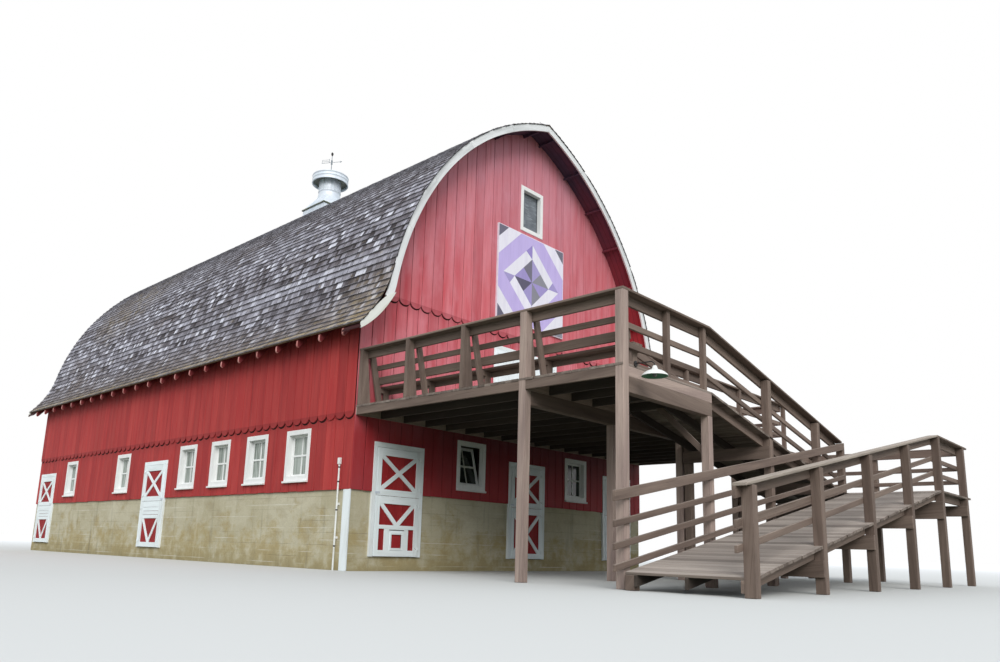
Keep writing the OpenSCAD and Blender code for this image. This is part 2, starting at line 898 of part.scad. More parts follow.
// beams under the joists, and the slanted brace behind the corner's right post
module deck_beams() {
    x = nose_w - post_s / 2;
    y0 = front_y + post_s;
    run = post_s * 5.2;
    color("saddlebrown") at_corner() {
        block(post_s, front_y, beam_z, nose_w, y0, joist_z);
        block(post_s, -deck_d, beam_z, deck_post_x[3] + post_s, -deck_d + post_s, joist_z);
        translate([x + lumber_t / 2, 0, 0]) rotate([0, 0, 90]) rotate([90, 0, 0]) mirror([0, 0, 1])
            linear_extrude(lumber_t) polygon([[y0, joist_z - run], [y0, joist_z - run - post_s],
            [y0 + run + post_s, joist_z], [y0 + run, joist_z]]);
    }
}

// the left rail's posts widen from under the face board to their foot
side_foot = post_s * 1.85;
side_knee = deck_z + rail_h - cap_t - face_h - 5 * fit;

module deck_posts() {
    color("saddlebrown") at_corner() {
        long_deck_posts();
        for (x = deck_post_x) post(x, -deck_d, beam_z);
        post(nose_w - post_s, front_y, beam_z);
        top = deck_z + rail_h - cap_t;
        for (y = side_post_y) along_y(y, y + rail_post_s) polygon([[0, deck_z], [side_foot, deck_z],
            [post_s, side_knee], [post_s, top], [0, top]]);
        along_y(-deck_d, -deck_d + rail_post_s) polygon([[post_s + fit, deck_z], [side_foot, deck_z],
            [post_s + fit, side_knee]]);
        for (x = [nose_w / 2, nose_w - post_s]) block(x, front_y + post_s - rail_post_s, deck_z,
            x + rail_post_s, front_y + post_s, top);
        for (x = share(nose_w + rail_post_s, barn_w - post_s, 3))
            block(x, -deck_d, deck_z, x + rail_post_s, -deck_d + rail_post_s, top);
        for (y = [-deck_d, -deck_d / 2, side_post_y[0]])
            block(barn_w - rail_post_s, y, deck_z, barn_w, y + rail_post_s, top);
    }
}

// a board along X, level or sloping, its top edge from x0, z0 to x1, z1
module board(x0, z0, x1, z1, y0, y1, h) {
    along_y(y0, y1) polygon([[x0, z0 - h], [x1, z1 - h], [x1, z1], [x0, z0]]);
}

// the cap over a line of posts whose outer face is at y
module cap(x0, z0, x1, z1, y) {
    board(x0, z0 + rail_h, x1, z1 + rail_h, y, y + cap_w, cap_t);
}

module rail_caps() {
    o = cap_over;
    left = cap_w - o + 2 * fit;
    color("saddlebrown") at_corner() {
        block(-o, front_y - o, deck_z + rail_h - cap_t, cap_w - o, -fit * 5, deck_z + rail_h);
        cap(left, deck_z, nose_w - fit, deck_z, front_y - o);
        cap(nose_w + fit, high_z(nose_w + fit), landing_x - fit, landing_z, front_y - o);
        cap(nose_w + rail_post_s, deck_z, barn_w - left, deck_z, -deck_d - o);
        block(barn_w - cap_w + o, -deck_d - o, deck_z + rail_h - cap_t, barn_w + o, -fit * 5, deck_z + rail_h);
        cap(nose_w + rail_post_s, high_z(nose_w + rail_post_s), landing_x - fit, landing_z,
            high_in_y + o - cap_w);
        cap(foot_left - post_s, low_z(foot_left - post_s), landing_x - fit, landing_z, low_out_y - o);
        cap(landing_x + fit, landing_z, landing_end + o, landing_z, low_out_y - o);
        cap(landing_x + fit, landing_z, landing_end + o, landing_z, high_in_y + o - cap_w);
        block(landing_end - cap_w + o, low_out_y - o + cap_w + fit, landing_z + rail_h - cap_t,
            landing_end + o, high_in_y + o - cap_w - fit, landing_z + rail_h);
    }
}

rows = [[rail_h - cap_t - fit, face_h], [row_a, rail_w], [row_b, rail_w]];
// some railings have a fourth board just above the floor
rows_low = concat(rows, [[rail_w * 1.2, rail_w]]);

// the boards of a railing along X between two floor heights, at y
module rails(x0, z0, x1, z1, y, rs = rows) {
    for (r = rs) board(x0, z0 + r[0], x1, z1 + r[0], y, y + lumber_t, r[1]);
}

module rails_y(x, y0, y1, z) {
    for (r = rows) block(x, y0, z + r[0] - r[1], x + lumber_t, y1, z + r[0]);
}

module rail_boards() {
    over = low_z(foot_left - post_s);
    color("saddlebrown") at_corner() {
        for (y = [[front_y + post_s, -deck_d], [-deck_d + fit, -fit * 5]])
            block(post_s, y[0], deck_z + rows[0][0] - face_h, post_s + lumber_t, y[1], deck_z + rows[0][0]);
        rails(cap_w, deck_z, nose_w - fit, deck_z, front_y + post_s, rows_low);
        rails(nose_w + fit, high_z(nose_w + fit), landing_x - fit, landing_z, front_y + post_s);
        rails(nose_w + rail_post_s, deck_z, barn_w - cap_w, deck_z, -deck_d + rail_post_s, rows_low);
        rails_y(barn_w - rail_post_s - lumber_t, -deck_d + rail_post_s, -fit * 5, deck_z);
        rails(nose_w + rail_post_s, high_z(nose_w + rail_post_s), landing_x - fit, landing_z,
            far_post_y - lumber_t);
        rails(foot_left - post_s, over, landing_x - fit, landing_z, low_out_y + post_s);
        rails(foot_left - post_s, over, landing_x - fit, landing_z, front_y - lumber_t, rows_low);
        rails(landing_x + fit, landing_z, landing_end, landing_z, low_out_y + post_s);
        rails(landing_x + fit, landing_z, landing_end, landing_z, far_post_y - lumber_t);
        rails_y(landing_end - post_s - lumber_t, low_out_y + post_s + lumber_t + fit,
            far_post_y - lumber_t - fit, landing_z);
    }
}

// the bench along the deck's left rail: its leaning supports reach the cap, and its back is the rail
lean = 0.24;
leg_w = rail_post_s * 1.4;
back_h = rail_h - cap_t - 5 * fit;
bench_foot = post_s + lumber_t + fit + lean * back_h;
bench_ends = concat([front_y + post_s + lumber_t + 5 * fit, -deck_d], bench_y, [side_post_y[0]]);
bench_y0 = bench_ends[0];
bench_y1 = side_post_y[0] + rail_post_s;

module bench_supports() {
    seat_z = deck_z + seat_h - board_t - fit;
    toe = bench_foot + seat_d;
    color("saddlebrown") at_corner() for (y = bench_ends) {
        along_y(y, y + lumber_t) polygon([[bench_foot, deck_z], [bench_foot + leg_w, deck_z],
            [bench_foot + leg_w - lean * back_h, deck_z + back_h],
            [bench_foot - lean * back_h, deck_z + back_h]]);
        along_y(y + lumber_t + fit, y + lumber_t * 2) polygon([[bench_foot, seat_z - rail_w],
            [toe - leg_w, seat_z - rail_w], [toe - leg_w, deck_z], [toe, deck_z], [toe, seat_z],
            [bench_foot, seat_z]]);
    }
}

// a board of the bench's back between two heights
module back_board(h0, h1) {
    x0 = bench_foot + leg_w - lean * h0 + fit;
    x1 = bench_foot + leg_w - lean * h1 + fit;
    along_y(bench_y0, bench_y1) polygon([[x0, deck_z + h0], [x0 + lumber_t, deck_z + h0],
        [x1 + lumber_t, deck_z + h1], [x1, deck_z + h1]]);
}

module bench_boards() {
    w = (seat_d - lumber_t) / 3;
    x0 = bench_foot + leg_w;
    color("saddlebrown") at_corner() {
        back_board(row_a + rail_w * 0.6, row_a + rail_w * 1.6);
        back_board(seat_h + rail_w * 0.2, seat_h + rail_w * 1.8);
        for (i = [0 : 2]) block(x0 + i * w, bench_y0, deck_z + seat_h - board_t, x0 + (i + 1) * w - leaf_gap,
            bench_y1, deck_z + seat_h);
        block(bench_foot + seat_d + fit, bench_y0, deck_z + seat_h - board_t - rail_w,
            bench_foot + seat_d + lumber_t, bench_y1, deck_z + seat_h - board_t - fit);
    }
}

// posts of the ramps, as tall as the rail over each
module high_posts() {
    for (x = high_post_x) for (y = [front_y, far_post_y]) post(x, y, high_z(x + post_s) + rail_h - cap_t - fit);
}

module low_posts_out() {
    for (x = low_post_x) post(x, low_out_y, low_z(x) + rail_h - cap_t - fit);
}

module landing_posts() {
    top = landing_z + rail_h - cap_t;
    for (y = [low_out_y, front_y, far_post_y]) post(landing_x, y, top - fit);
    for (p = [[landing_end - end_in - post_s, low_out_y], [landing_end - post_s, front_y],
        [landing_end - post_s, far_post_y]]) post(p[0], p[1], top);
}

module low_posts_in() {
    for (x = low_post_x) post(x, low_in_y - post_s, low_z(x) - board_t - fit);
}

module ramp_posts() {
    color("saddlebrown") at_corner() {
        high_posts();
        low_posts_out();
        landing_posts();
        low_posts_in();
    }
}

module ramp_boards() {
    color("saddlebrown") at_corner() difference() {
        union() {
            board(nose_w + fit, high_z(nose_w + fit), landing_x - fit, high_z(landing_x - fit), front_y,
                high_in_y, board_t);
            board(foot_left, foot_z, landing_x - fit, low_z(landing_x - fit), low_out_y, low_in_y, board_t);
            block(landing_x, low_out_y, landing_z - board_t, landing_end, high_in_y, landing_z);
        }
        high_posts();
        low_posts_out();
        landing_posts();
    }
}

// stringers under both ramps and joists under the landing, clear of the posts
module ramp_joists() {
    z = board_t + fit;
    color("saddlebrown") at_corner() {
        high_mid = (front_y + high_in_y - lumber_t) / 2;
        low_mid = (low_out_y + low_in_y - lumber_t) / 2;
        for (y = [front_y + post_s, high_mid, far_post_y - lumber_t])
            board(nose_w + fit, high_z(nose_w + fit) - z, landing_x - fit, high_z(landing_x - fit) - z, y,
                y + lumber_t, joist_h);
        for (y = [low_out_y + post_s, low_mid, low_in_y - post_s - lumber_t])
            board(foot_left, foot_z - z, landing_x - fit, low_z(landing_x - fit) - z, y, y + lumber_t, joist_h);
        inner = [low_out_y + post_s, low_mid, front_y + post_s, high_mid, far_post_y - lumber_t];
        for (y = inner) block(landing_x, y, landing_z - z - joist_h, landing_end, y + lumber_t, landing_z - z);
        block(landing_x, low_in_y - lumber_t, landing_z - z - joist_h, landing_end, low_in_y, landing_z - z);
    }
}

// deep boards across the ramps on the left faces of the posts
module ramp_beams() {
    z = board_t + joist_h + 2 * fit;
    color("saddlebrown") at_corner() {
        for (x = high_post_x) block(x - lumber_t, front_y, high_z(x) - z - beam_h, x, high_in_y, high_z(x) - z);
        for (i = [1 : low_posts - 1]) {
            x = low_post_x[i];
            top = low_z(x - lumber_t) - z;
            block(x - lumber_t, low_out_y, max(top - beam_h, fit - base_h), x, low_in_y, top);
        }
        x1 = landing_end - end_in - post_s - lumber_t;
        block(landing_x - lumber_t, low_out_y, landing_z - z - beam_h - joist_h, landing_x, high_in_y,
            landing_z - z - joist_h / 4);
        block(x1, low_out_y, landing_z - z - beam_h, x1 + lumber_t, high_in_y, landing_z - z);
    }
}

// a shaded lamp on an arm from the deck's front corner
module barn_lamp() {
    z = joist_z + joist_h / 1.8;
    color("white") at_corner() translate([lamp_x, front_y, z]) {
        translate([0, -lamp_out, 0]) rotate([-90, 0, 0]) cylinder(r = glass_t * 1.5, h = lamp_out - fit);
        translate([0, -lamp_out, -lamp_d / 8]) cylinder(r = lamp_d / 9, h = lamp_d / 6);
        translate([0, -lamp_out, -lamp_d / 4]) cylinder(d1 = lamp_d, d2 = lamp_d / 3, h = lamp_d / 8 + fit);
        translate([0, -fit - strap_t, 0]) rotate([-90, 0, 0]) cylinder(r = lamp_d / 9, h = strap_t);
    }
}

ground_floor();
foundation_gables();
foundation_sides();
front_wall();
back_wall();
left_wall();
right_wall();
walls_over_doors();
front_gable();
back_gable();
left_wall_top();
right_wall_top();
loft_floor();
roof_left();
roof_right();
rake_boards_front();
rake_boards_back();
soffit_front();
soffit_back();
rafter_tails();
ridge_finials();
door_jambs();
door_heads();
window_frames();
window_sills();
window_sashes();
window_glass();
top_windows();
top_screens();
deck_doors();
fixed_doors();
front_left_upper_leaf();
front_left_lower_leaf();
front_middle_upper_leaf();
front_middle_lower_leaf();
side_near_upper_leaf();
side_near_lower_leaf();
side_far_upper_leaf();
side_far_lower_leaf();
hinge_pins();
ventilator_base();
ventilator_hood();
weathervane();
conduit();
corner_board();
banner();
deck_boards();
deck_joists();
deck_rims();
deck_beams();
deck_posts();
rail_caps();
rail_boards();
bench_supports();
bench_boards();
ramp_boards();
ramp_joists();
ramp_beams();
ramp_posts();
barn_lamp();
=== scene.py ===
import bisect
import math
import random

import bmesh
import bpy
import numpy as np
from mathutils import Matrix, Vector


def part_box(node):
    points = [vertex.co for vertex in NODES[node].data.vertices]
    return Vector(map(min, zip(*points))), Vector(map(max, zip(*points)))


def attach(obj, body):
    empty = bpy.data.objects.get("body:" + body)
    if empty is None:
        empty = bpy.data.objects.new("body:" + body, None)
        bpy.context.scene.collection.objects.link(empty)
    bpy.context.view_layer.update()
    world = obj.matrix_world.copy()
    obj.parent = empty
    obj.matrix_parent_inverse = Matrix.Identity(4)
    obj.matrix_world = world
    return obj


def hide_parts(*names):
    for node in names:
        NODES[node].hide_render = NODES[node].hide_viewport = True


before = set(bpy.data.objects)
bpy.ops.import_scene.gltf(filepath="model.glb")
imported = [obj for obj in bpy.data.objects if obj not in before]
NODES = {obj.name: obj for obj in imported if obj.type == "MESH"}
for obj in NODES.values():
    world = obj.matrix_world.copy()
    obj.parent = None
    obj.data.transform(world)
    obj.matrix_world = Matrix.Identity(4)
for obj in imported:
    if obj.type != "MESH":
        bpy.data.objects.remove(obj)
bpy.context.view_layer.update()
rnd = random.Random(11)

# barn coordinates: X along the gable, Y back, Z up from the door sills
wall_lo, wall_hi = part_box("front_wall")
X0, Y0, Z0 = wall_lo.x, wall_lo.y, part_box("ground_floor")[1].z
W = wall_hi.x - wall_lo.x
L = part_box("back_wall")[1].y - Y0
HW = W / 2


def P(x, y, z):
    return Vector((X0 + x, Y0 + y, Z0 + z))


def rgb(text):
    v = [int(text[i:i + 2], 16) / 255 for i in (0, 2, 4)]
    return tuple(c / 12.92 if c <= 0.04045 else ((c + 0.055) / 1.055) ** 2.4 for c in v) + (1.0,)


def placed(name, data):
    """a new object in the scene"""
    o = bpy.data.objects.new(name, data)
    bpy.context.scene.collection.objects.link(o)
    return o


# materials
class Val:
    """The output of a shader node, which can be reckoned with."""

    def __init__(self, nodes, socket):
        self.nodes, self.socket = nodes, socket

    def __add__(self, other):
        return self.nodes.math("ADD", self, other)

    def __sub__(self, other):
        return self.nodes.math("SUBTRACT", self, other)

    def __rsub__(self, other):
        return self.nodes.math("SUBTRACT", other, self)

    def __mul__(self, other):
        return self.nodes.math("MULTIPLY", self, other)

    def __truediv__(self, other):
        return self.nodes.math("DIVIDE", self, other)

    def __abs__(self):
        return self.nodes.math("ABSOLUTE", self)

    def fract(self):
        return self.nodes.math("FRACT", self)

    def most(self, other):
        return self.nodes.math("MAXIMUM", self, other)

    def clamped(self):
        self.socket.node.use_clamp = True
        return self

    def span(self, a, b, c=0.0, d=1.0):
        """a..b carried to c..d and held there"""
        return self.nodes.node("MapRange", 0, enumerate((self, a, b, c, d)), clamp=True)


class Nodes:
    """A node tree that is put together node by node."""

    def __init__(self, tree):
        self.tree = tree

    def node(self, kind, out, inputs=(), **props):
        """one output of a new node; inputs holds pairs of a socket and its value"""
        n = self.tree.nodes.new("ShaderNode" + kind)
        for k, v in props.items():
            setattr(n, k, v)
        for k, v in inputs:
            self.into(n.inputs[k], v)
        return Val(self, n.outputs[out])

    def into(self, socket, v):
        if isinstance(v, Val):
            self.tree.links.new(v.socket, socket)
        else:
            socket.default_value = rgb(v) if isinstance(v, str) else v

    def math(self, op, a, b=0.0):
        return self.node("Math", 0, ((0, a), (1, b)), operation=op)

    def mix(self, f, a, b):
        return self.node("Mix", 2, ((0, f), (6, a), (7, b)), data_type="RGBA")

    def xyz(self, v):
        first = self.node("SeparateXYZ", 0, ((0, v),))
        return [Val(self, o) for o in first.socket.node.outputs]


class Shade(Nodes):
    """A material whose colour takes coat after coat."""

    def __init__(self, name, col, roughness=0.7, metallic=0.0, specular=0.5):
        self.mat = bpy.data.materials.new(name)
        self.mat.use_nodes = True
        super().__init__(self.mat.node_tree)
        self.col = col
        self.ends = self.tree.nodes["Principled BSDF"].inputs
        self.ends["Roughness"].default_value = roughness
        self.ends["Metallic"].default_value = metallic
        self.ends["Specular IOR Level"].default_value = specular

    def place(self):
        return self.node("TexCoord", "Object")

    def attr(self, name, out="Fac"):
        return self.node("Attribute", out, attribute_name=name)

    def noise(self, stretch, detail=3.0, rough=0.55, twist=0.0, size=1.0, of=None):
        """soft noise; stretch is its scale, as one number or one for each axis"""
        v = of or self.place()
        if isinstance(stretch, tuple):
            v = self.node("VectorMath", 0, ((0, v), (1, stretch)), operation="MULTIPLY")
        else:
            size = stretch
        return self.node("TexNoise", "Fac", (("Vector", v), ("Scale", size), ("Detail", detail),
                                             ("Roughness", rough), ("Distortion", twist)))

    def fibres(self, along, across, detail=4.0, rough=0.6):
        """noise drawn out along each board's grain"""
        return self.noise((along, across, across), detail, rough, of=self.attr("grain", "Vector"))

    def cells(self, scale, out="Distance"):
        return self.node("TexVoronoi", out, (("Vector", self.place()), ("Scale", scale)))

    def ramp(self, v, stops):
        n = self.node("ValToRGB", 0, ((0, v),))
        e = n.socket.node.color_ramp.elements
        while len(e) < len(stops):
            e.new(0.5)
        for k, (at, col) in enumerate(stops):
            e[k].position = at
            e[k].color = rgb(col)
        return n

    def coat(self, amount, over):
        self.col = self.mix(amount, self.col, over)

    def dim(self, v):
        """the colour made lighter or darker by a number"""
        self.col = self.node("VectorMath", 0, ((0, self.col), ("Scale", v)), operation="SCALE")

    def done(self, roughness=None, height=None, strength=0.4, distance=0.004):
        self.into(self.ends["Base Color"], self.col)
        if roughness is not None:
            self.into(self.ends["Roughness"], roughness)
        if height:
            self.into(self.ends["Normal"], self.node("Bump", 0, (
                ("Strength", strength), ("Distance", distance), ("Height", height))))
        return self.mat


def red_paint(name, base, light, dark, streaks, fade, lap, high=None, eaves=False):
    """barn-red paint on boards that stand upright"""
    s = Shade(name, base, 0.72, specular=0.3)
    x, _, z = s.xyz(s.place())
    fine, broad = s.fibres(2.0, 60.0), s.fibres(0.5, 4.0, 3.0, 0.55)
    s.coat(broad.span(0.3, 0.7), light)
    s.coat(s.attr("tint").span(0.0, 1.0, 0.0, 0.35), dark)
    # worn to a paler pink in patches, more of it low down
    worn = s.noise((1.6, 1.6, 0.7), 5.0, 0.65) + z.span(Z0 + 3.2, Z0 + 8.0, fade, -0.03)
    s.coat(worn.span(0.52, 0.80, 0.0, 0.55), light)
    if high:
        # bleached to a lilac pink towards the top, still deep red near the ground
        lilac = (z.span(Z0 + 5.6, Z0 + 10.0, 0.0, 0.70) + worn.span(0.35, 0.7, -0.15, 0.2)).clamped()
        s.coat(lilac * x.span(X0 + W * 0.62, X0 + W * 0.85, 1.0, 0.35), high)
        s.coat(z.span(Z0 + 3.4, Z0 + 2.3, 0.0, 0.85), "962024")
        # painted shade: near black on the wall under the deck, where the deck keeps the light off
        shade = z.span(Z0 + 1.5, Z0 + 2.7) * x.span(X0 + 0.6, X0 + 2.6)
        s.coat(shade * z.span(Z0 + 2.9, Z0 + 2.8, 0.0, 0.7), "2a0c0e")
    # dark runs down the boards
    runs = s.noise((9.0, 9.0, 0.35), 4.0, 0.6)
    s.coat(runs.span(0.56, 0.78, 0.0, streaks), dark)
    if eaves:
        # painted shade under the eaves: darker towards the top of the wall, broken up by the runs
        eave_shade = z.span(Z0 + 3.9, Z0 + 4.9, 0.0, 0.75) + runs.span(0.3, 0.7, -0.12, 0.12)
        s.coat(eave_shade.clamped(), "5a1016")
    # painted shade just below the lap, under the upper boards' ends; grime in the wood's own lines
    below = Z0 + lap - z
    s.coat((1.0 - below.span(0.0, 0.35)) * below.span(-0.01, 0.0) * 0.45, dark)
    s.dim(fine.span(0.3, 0.7, 0.90, 1.08))
    s.coat(s.fibres(14.0, 70.0, 2.0, 0.5).span(0.70, 0.78, 0.0, 0.35), "d79a98")
    return s.done(fine.span(0.3, 0.7, 0.62, 0.85), fine + broad * 0.6, 0.5)


def white_paint(name, base="e9eaea", dirt="b9b8ac", amount=0.5, rough=0.5):
    s = Shade(name, base, rough, specular=0.4)
    fine, broad = s.fibres(2.0, 50.0), s.fibres(0.8, 6.0, 3.0, 0.55)
    s.coat(broad.span(0.45, 0.8, 0.0, amount), dirt)
    s.coat(s.attr("tint").span(0.0, 1.0, 0.0, 0.30), "d3d5d6")
    s.coat(s.fibres(12.0, 55.0, 3.0).span(0.68, 0.74, 0.0, 0.45), "8d867c")
    s.dim(fine.span(0.3, 0.7, 0.95, 1.02))
    return s.done(broad.span(0.3, 0.7, rough - 0.08, rough + 0.15), fine, 0.3, 0.002)


def stained_wood(name, base, light, dark, top, vary=0.35):
    """brown stain that has gone grey, palest on what faces the sky"""
    s = Shade(name, base, 0.82, specular=0.25)
    fine = s.fibres(1.6, 70.0)
    up = s.xyz(s.node("NewGeometry", "Normal"))[2].span(0.35, 0.9)
    s.coat(s.fibres(0.5, 7.0, 3.0, 0.55).span(0.32, 0.72), light)
    s.coat(up * 0.75, top)
    s.coat(s.attr("tint").span(0.0, 1.0, 0.0, vary), dark)
    cracks = s.fibres(0.9, 120.0, 2.0, 0.5)
    s.coat(cracks.span(0.62, 0.74, 0.0, 0.55), dark)
    s.dim(fine.span(0.28, 0.72, 0.82, 1.14))
    return s.done(fine.span(0.3, 0.7, 0.72, 0.92), fine - cracks.span(0.62, 0.74, 0.0, 0.8), 0.55)


def concrete(name):
    s = Shade(name, "b3ab90", 0.9, specular=0.2)
    z = s.xyz(s.place())[2]
    mid, fine = s.noise(3.2, 5.0, 0.65), s.noise(55.0, 3.0, 0.6)
    s.coat(s.noise((0.5, 0.5, 0.9), 5.0, 0.6).span(0.35, 0.68), "c8c2ac")
    blotch = s.noise((1.0, 1.0, 1.5), 5.0, 0.7, 0.4, 1.4)
    s.coat(blotch.span(0.48, 0.66, 0.0, 0.5), "9d9176")
    # ochre damp low down, paler where lime has run
    low = z.span(0.0, Z0 + 1.0, 0.80, 0.0) + mid.span(0.35, 0.72, -0.35, 0.38)
    s.coat((low + blotch.span(0.35, 0.65, -0.25, 0.25)).span(0.15, 0.7, 0.0, 0.60), "a8935c")
    foot = z.span(0.0, 0.55, 0.5, 0.0) + mid.span(0.35, 0.7, -0.2, 0.2)
    s.coat(foot.span(0.1, 0.6, 0.0, 0.55), "827a5c")
    runs = s.noise((5.0, 5.0, 0.45), 4.0, 0.6)
    s.coat(runs.span(0.60, 0.78, 0.0, 0.28), "d6d2c0")
    s.coat(runs.span(0.42, 0.28, 0.0, 0.4), "6f6a5c")
    # lines of the boards that it was cast against
    board = ((z + 0.01) / 0.235).fract()
    line = abs(board - 0.5).span(0.455, 0.495) * s.noise((1.1, 1.1, 4.0), 3.0, 0.5).span(0.42, 0.62)
    s.coat(line * 0.30, "6b6250")
    # thin pale seams where lime has come out of the joints
    seam = abs(board - 0.42).span(0.045, 0.015) * s.noise((0.8, 0.8, 6.0), 3.0, 0.6).span(0.48, 0.64)
    s.coat(seam * 0.6, "dedcd2")
    pits = s.cells(26.0).span(0.10, 0.02)
    s.coat(pits * 0.5, "5b523f")
    s.dim(fine.span(0.3, 0.7, 0.90, 1.08))
    height = mid * 1.2 + fine * 0.35 - (line * 0.5 + pits * 0.5)
    return s.done(mid.span(0.3, 0.7, 0.82, 0.95), height, 0.55, 0.010)


def shingle_wood(name):
    s = Shade(name, None, 0.85, specular=0.25)
    _, y, z = s.xyz(s.place())
    tint = s.attr("tint")
    fine = s.fibres(4.0, 110.0)
    up = s.xyz(s.attr("grain", "Vector"))[2]
    s.col = s.ramp(tint, [(0.0, "353034"), (0.28, "5f5a60"), (0.55, "86838c"), (0.80, "afaeba"),
                          (1.0, "dadbe6")])
    big = s.noise((1.0, 0.45, 1.0), 4.0, 0.6, 0.0, 0.55)
    # silvery bands that run along the roof at mid height: partly weathered silver, partly a painted
    # highlight
    silver_sheen_bands = s.noise((0.5, 0.10, 2.4), 4.0, 0.65)
    mid = z.span(Z0 + 5.0, Z0 + 5.8) * z.span(Z0 + 10.2, Z0 + 7.6)
    s.coat(silver_sheen_bands.span(0.47, 0.66, 0.0, 0.62) * mid, "b8b8c5")
    s.coat(big.span(0.55, 0.75, 0.0, 0.45), "6a5c52")
    # browner near the ridge
    s.coat(z.span(Z0 + 7.2, Z0 + 9.8) * big.span(0.3, 0.6, 0.4, 0.8), "5a4f4f")
    # a patch of ochre lichen on the far part of the left side
    fy, fz = (y - (Y0 + 14.2)) / 2.6, (z - (Z0 + 8.3)) / 2.0
    far = fy * fy + fz * fz
    s.coat(far.span(1.0, 0.2) * s.noise(3.0, 4.0, 0.7).span(0.42, 0.62, 0.0, 0.6), "8d7c58")
    # browner towards the eave, then golden moss at its very edge
    low = z.span(Z0 + 4.4, Z0 + 5.45, 0.9, 0.0) + big.span(0.3, 0.7, -0.15, 0.15)
    s.coat(low.span(0.1, 0.8, 0.0, 0.70), "6e6259")
    moss = s.noise(5.0, 4.0, 0.7)
    edge = z.span(Z0 + 4.34, Z0 + 4.66, 0.60, 0.0) + moss.span(0.35, 0.7, -0.3, 0.35)
    s.coat(edge.span(0.15, 0.7, 0.0, 0.7), "b09c6a")
    near = y.span(Y0 + 1.6, Y0 - 0.4) * z.span(Z0 + 5.9, Z0 + 5.0)
    s.coat(near * moss.span(0.4, 0.65, 0.1, 0.6), "a8946b")
    s.coat(s.noise(16.0, 4.0, 0.7).span(0.60, 0.72, 0.0, 0.3), "9a948a")
    # painted shadow and some dirt where the next course lies over it; a painted highlight on its lower end
    # and on the end's face
    s.coat(up.span(0.50, 0.80, 0.0, 0.88), "221d1f")
    s.coat(up.span(0.16, 0.0, 0.0, 0.28), "b9b7c4")
    s.coat(up.span(-0.4, -0.6), s.mix(tint.span(0.0, 1.0), "8d8993", "c6c4d0"))
    s.dim(fine.span(0.3, 0.7, 0.78, 1.18))
    s.dim(s.fibres(5.0, 34.0).span(0.32, 0.68, 0.74, 1.24))
    return s.done(fine.span(0.3, 0.7, 0.75, 0.95), fine, 0.6)


def galvanised(name, light, dark, stain):
    s = Shade(name, light, 0.45, metallic=0.15)
    z = s.xyz(s.place())[2]
    big = s.noise((2.0, 2.0, 1.0), 4.0, 0.6)
    s.coat(big.span(0.3, 0.7), dark)
    s.coat(0.04, s.cells(28.0, "Color"))
    s.coat(s.noise((7.0, 7.0, 0.6), 4.0, 0.6).span(0.55, 0.75, 0.0, 0.5), stain)
    s.coat(z.span(Z0 + 11.2, Z0 + 10.9, 0.0, 0.3), stain)
    return s.done(big.span(0.3, 0.7, 0.36, 0.6), big, 0.2, 0.01)


def iron(name, base="2b2a2a", rust="5b3a2a", amount=0.35):
    s = Shade(name, base, 0.6, metallic=0.35)
    a, b = s.noise(18.0, 4.0, 0.65), s.noise(120.0, 2.0, 0.5)
    s.coat(a.span(0.5, 0.72, 0.0, amount), rust)
    s.dim(b.span(0.3, 0.7, 0.85, 1.12))
    return s.done(a.span(0.3, 0.7, 0.5, 0.8), b, 0.3, 0.001)


def enamel(name, base="e6e8e6", dirt="a9a89a"):
    s = Shade(name, base, 0.35)
    a = s.noise(6.0, 4.0, 0.6)
    s.coat(a.span(0.5, 0.75, 0.0, 0.5), dirt)
    s.coat(s.noise((30.0, 30.0, 1.5), 3.0, 0.6).span(0.6, 0.75, 0.0, 0.35), "7d7668")
    return s.done(a.span(0.3, 0.7, 0.28, 0.5), a, 0.1, 0.002)


def panes(name):
    """old glass: dark where the room shows, paler in the long walls where cloth hangs behind it"""
    s = Shade(name, "232a25", 0.06, specular=0.6)
    folds, dust = s.noise((11.0, 11.0, 0.5)), s.noise(4.0, 5.0, 0.7)
    cloth = s.ramp(folds, [(0.30, "3d4540"), (0.42, "7d867f"), (0.52, "a9b1ab"), (0.60, "6c756e"),
                           (0.72, "b9c0ba")])
    s.coat(abs(s.xyz(s.place())[0]).span(HW - 0.4, HW - 0.3), cloth)
    s.coat(dust.span(0.55, 0.8, 0.0, 0.25), "7f8a7c")
    return s.done(dust.span(0.4, 0.8, 0.05, 0.25), s.noise(3.0, 2.0, 0.5), 0.15, 0.01)


def wire_screen(name):
    s = Shade(name, "5a6169", 0.7, metallic=0.2)
    x, _, z = s.xyz(s.place())
    across, upright = (abs((v * 60.0).fract() - 0.5).span(0.36, 0.44) for v in (x, z))
    mesh = across.most(upright)
    s.coat(s.noise((3.0, 3.0, 2.0), 3.0, 0.6).span(0.35, 0.7), "7b828a")
    s.coat(s.noise((4.0, 4.0, 22.0), 4.0, 0.65).span(0.50, 0.70, 0.0, 0.7), "a4abb0")
    s.coat(mesh * 0.35, "888c8e")
    return s.done(0.7, mesh, 0.3, 0.003)


def bare_timber(name, base="7a6450", dark="4f4033"):
    s = Shade(name, base, 0.85, specular=0.2)
    fine = s.noise((60.0, 60.0, 4.0), 3.0, 0.6)
    s.coat(s.noise((6.0, 6.0, 1.0), 4.0, 0.6).span(0.3, 0.7), dark)
    s.dim(fine.span(0.3, 0.7, 0.86, 1.1))
    return s.done(0.85, fine, 0.4, 0.003)


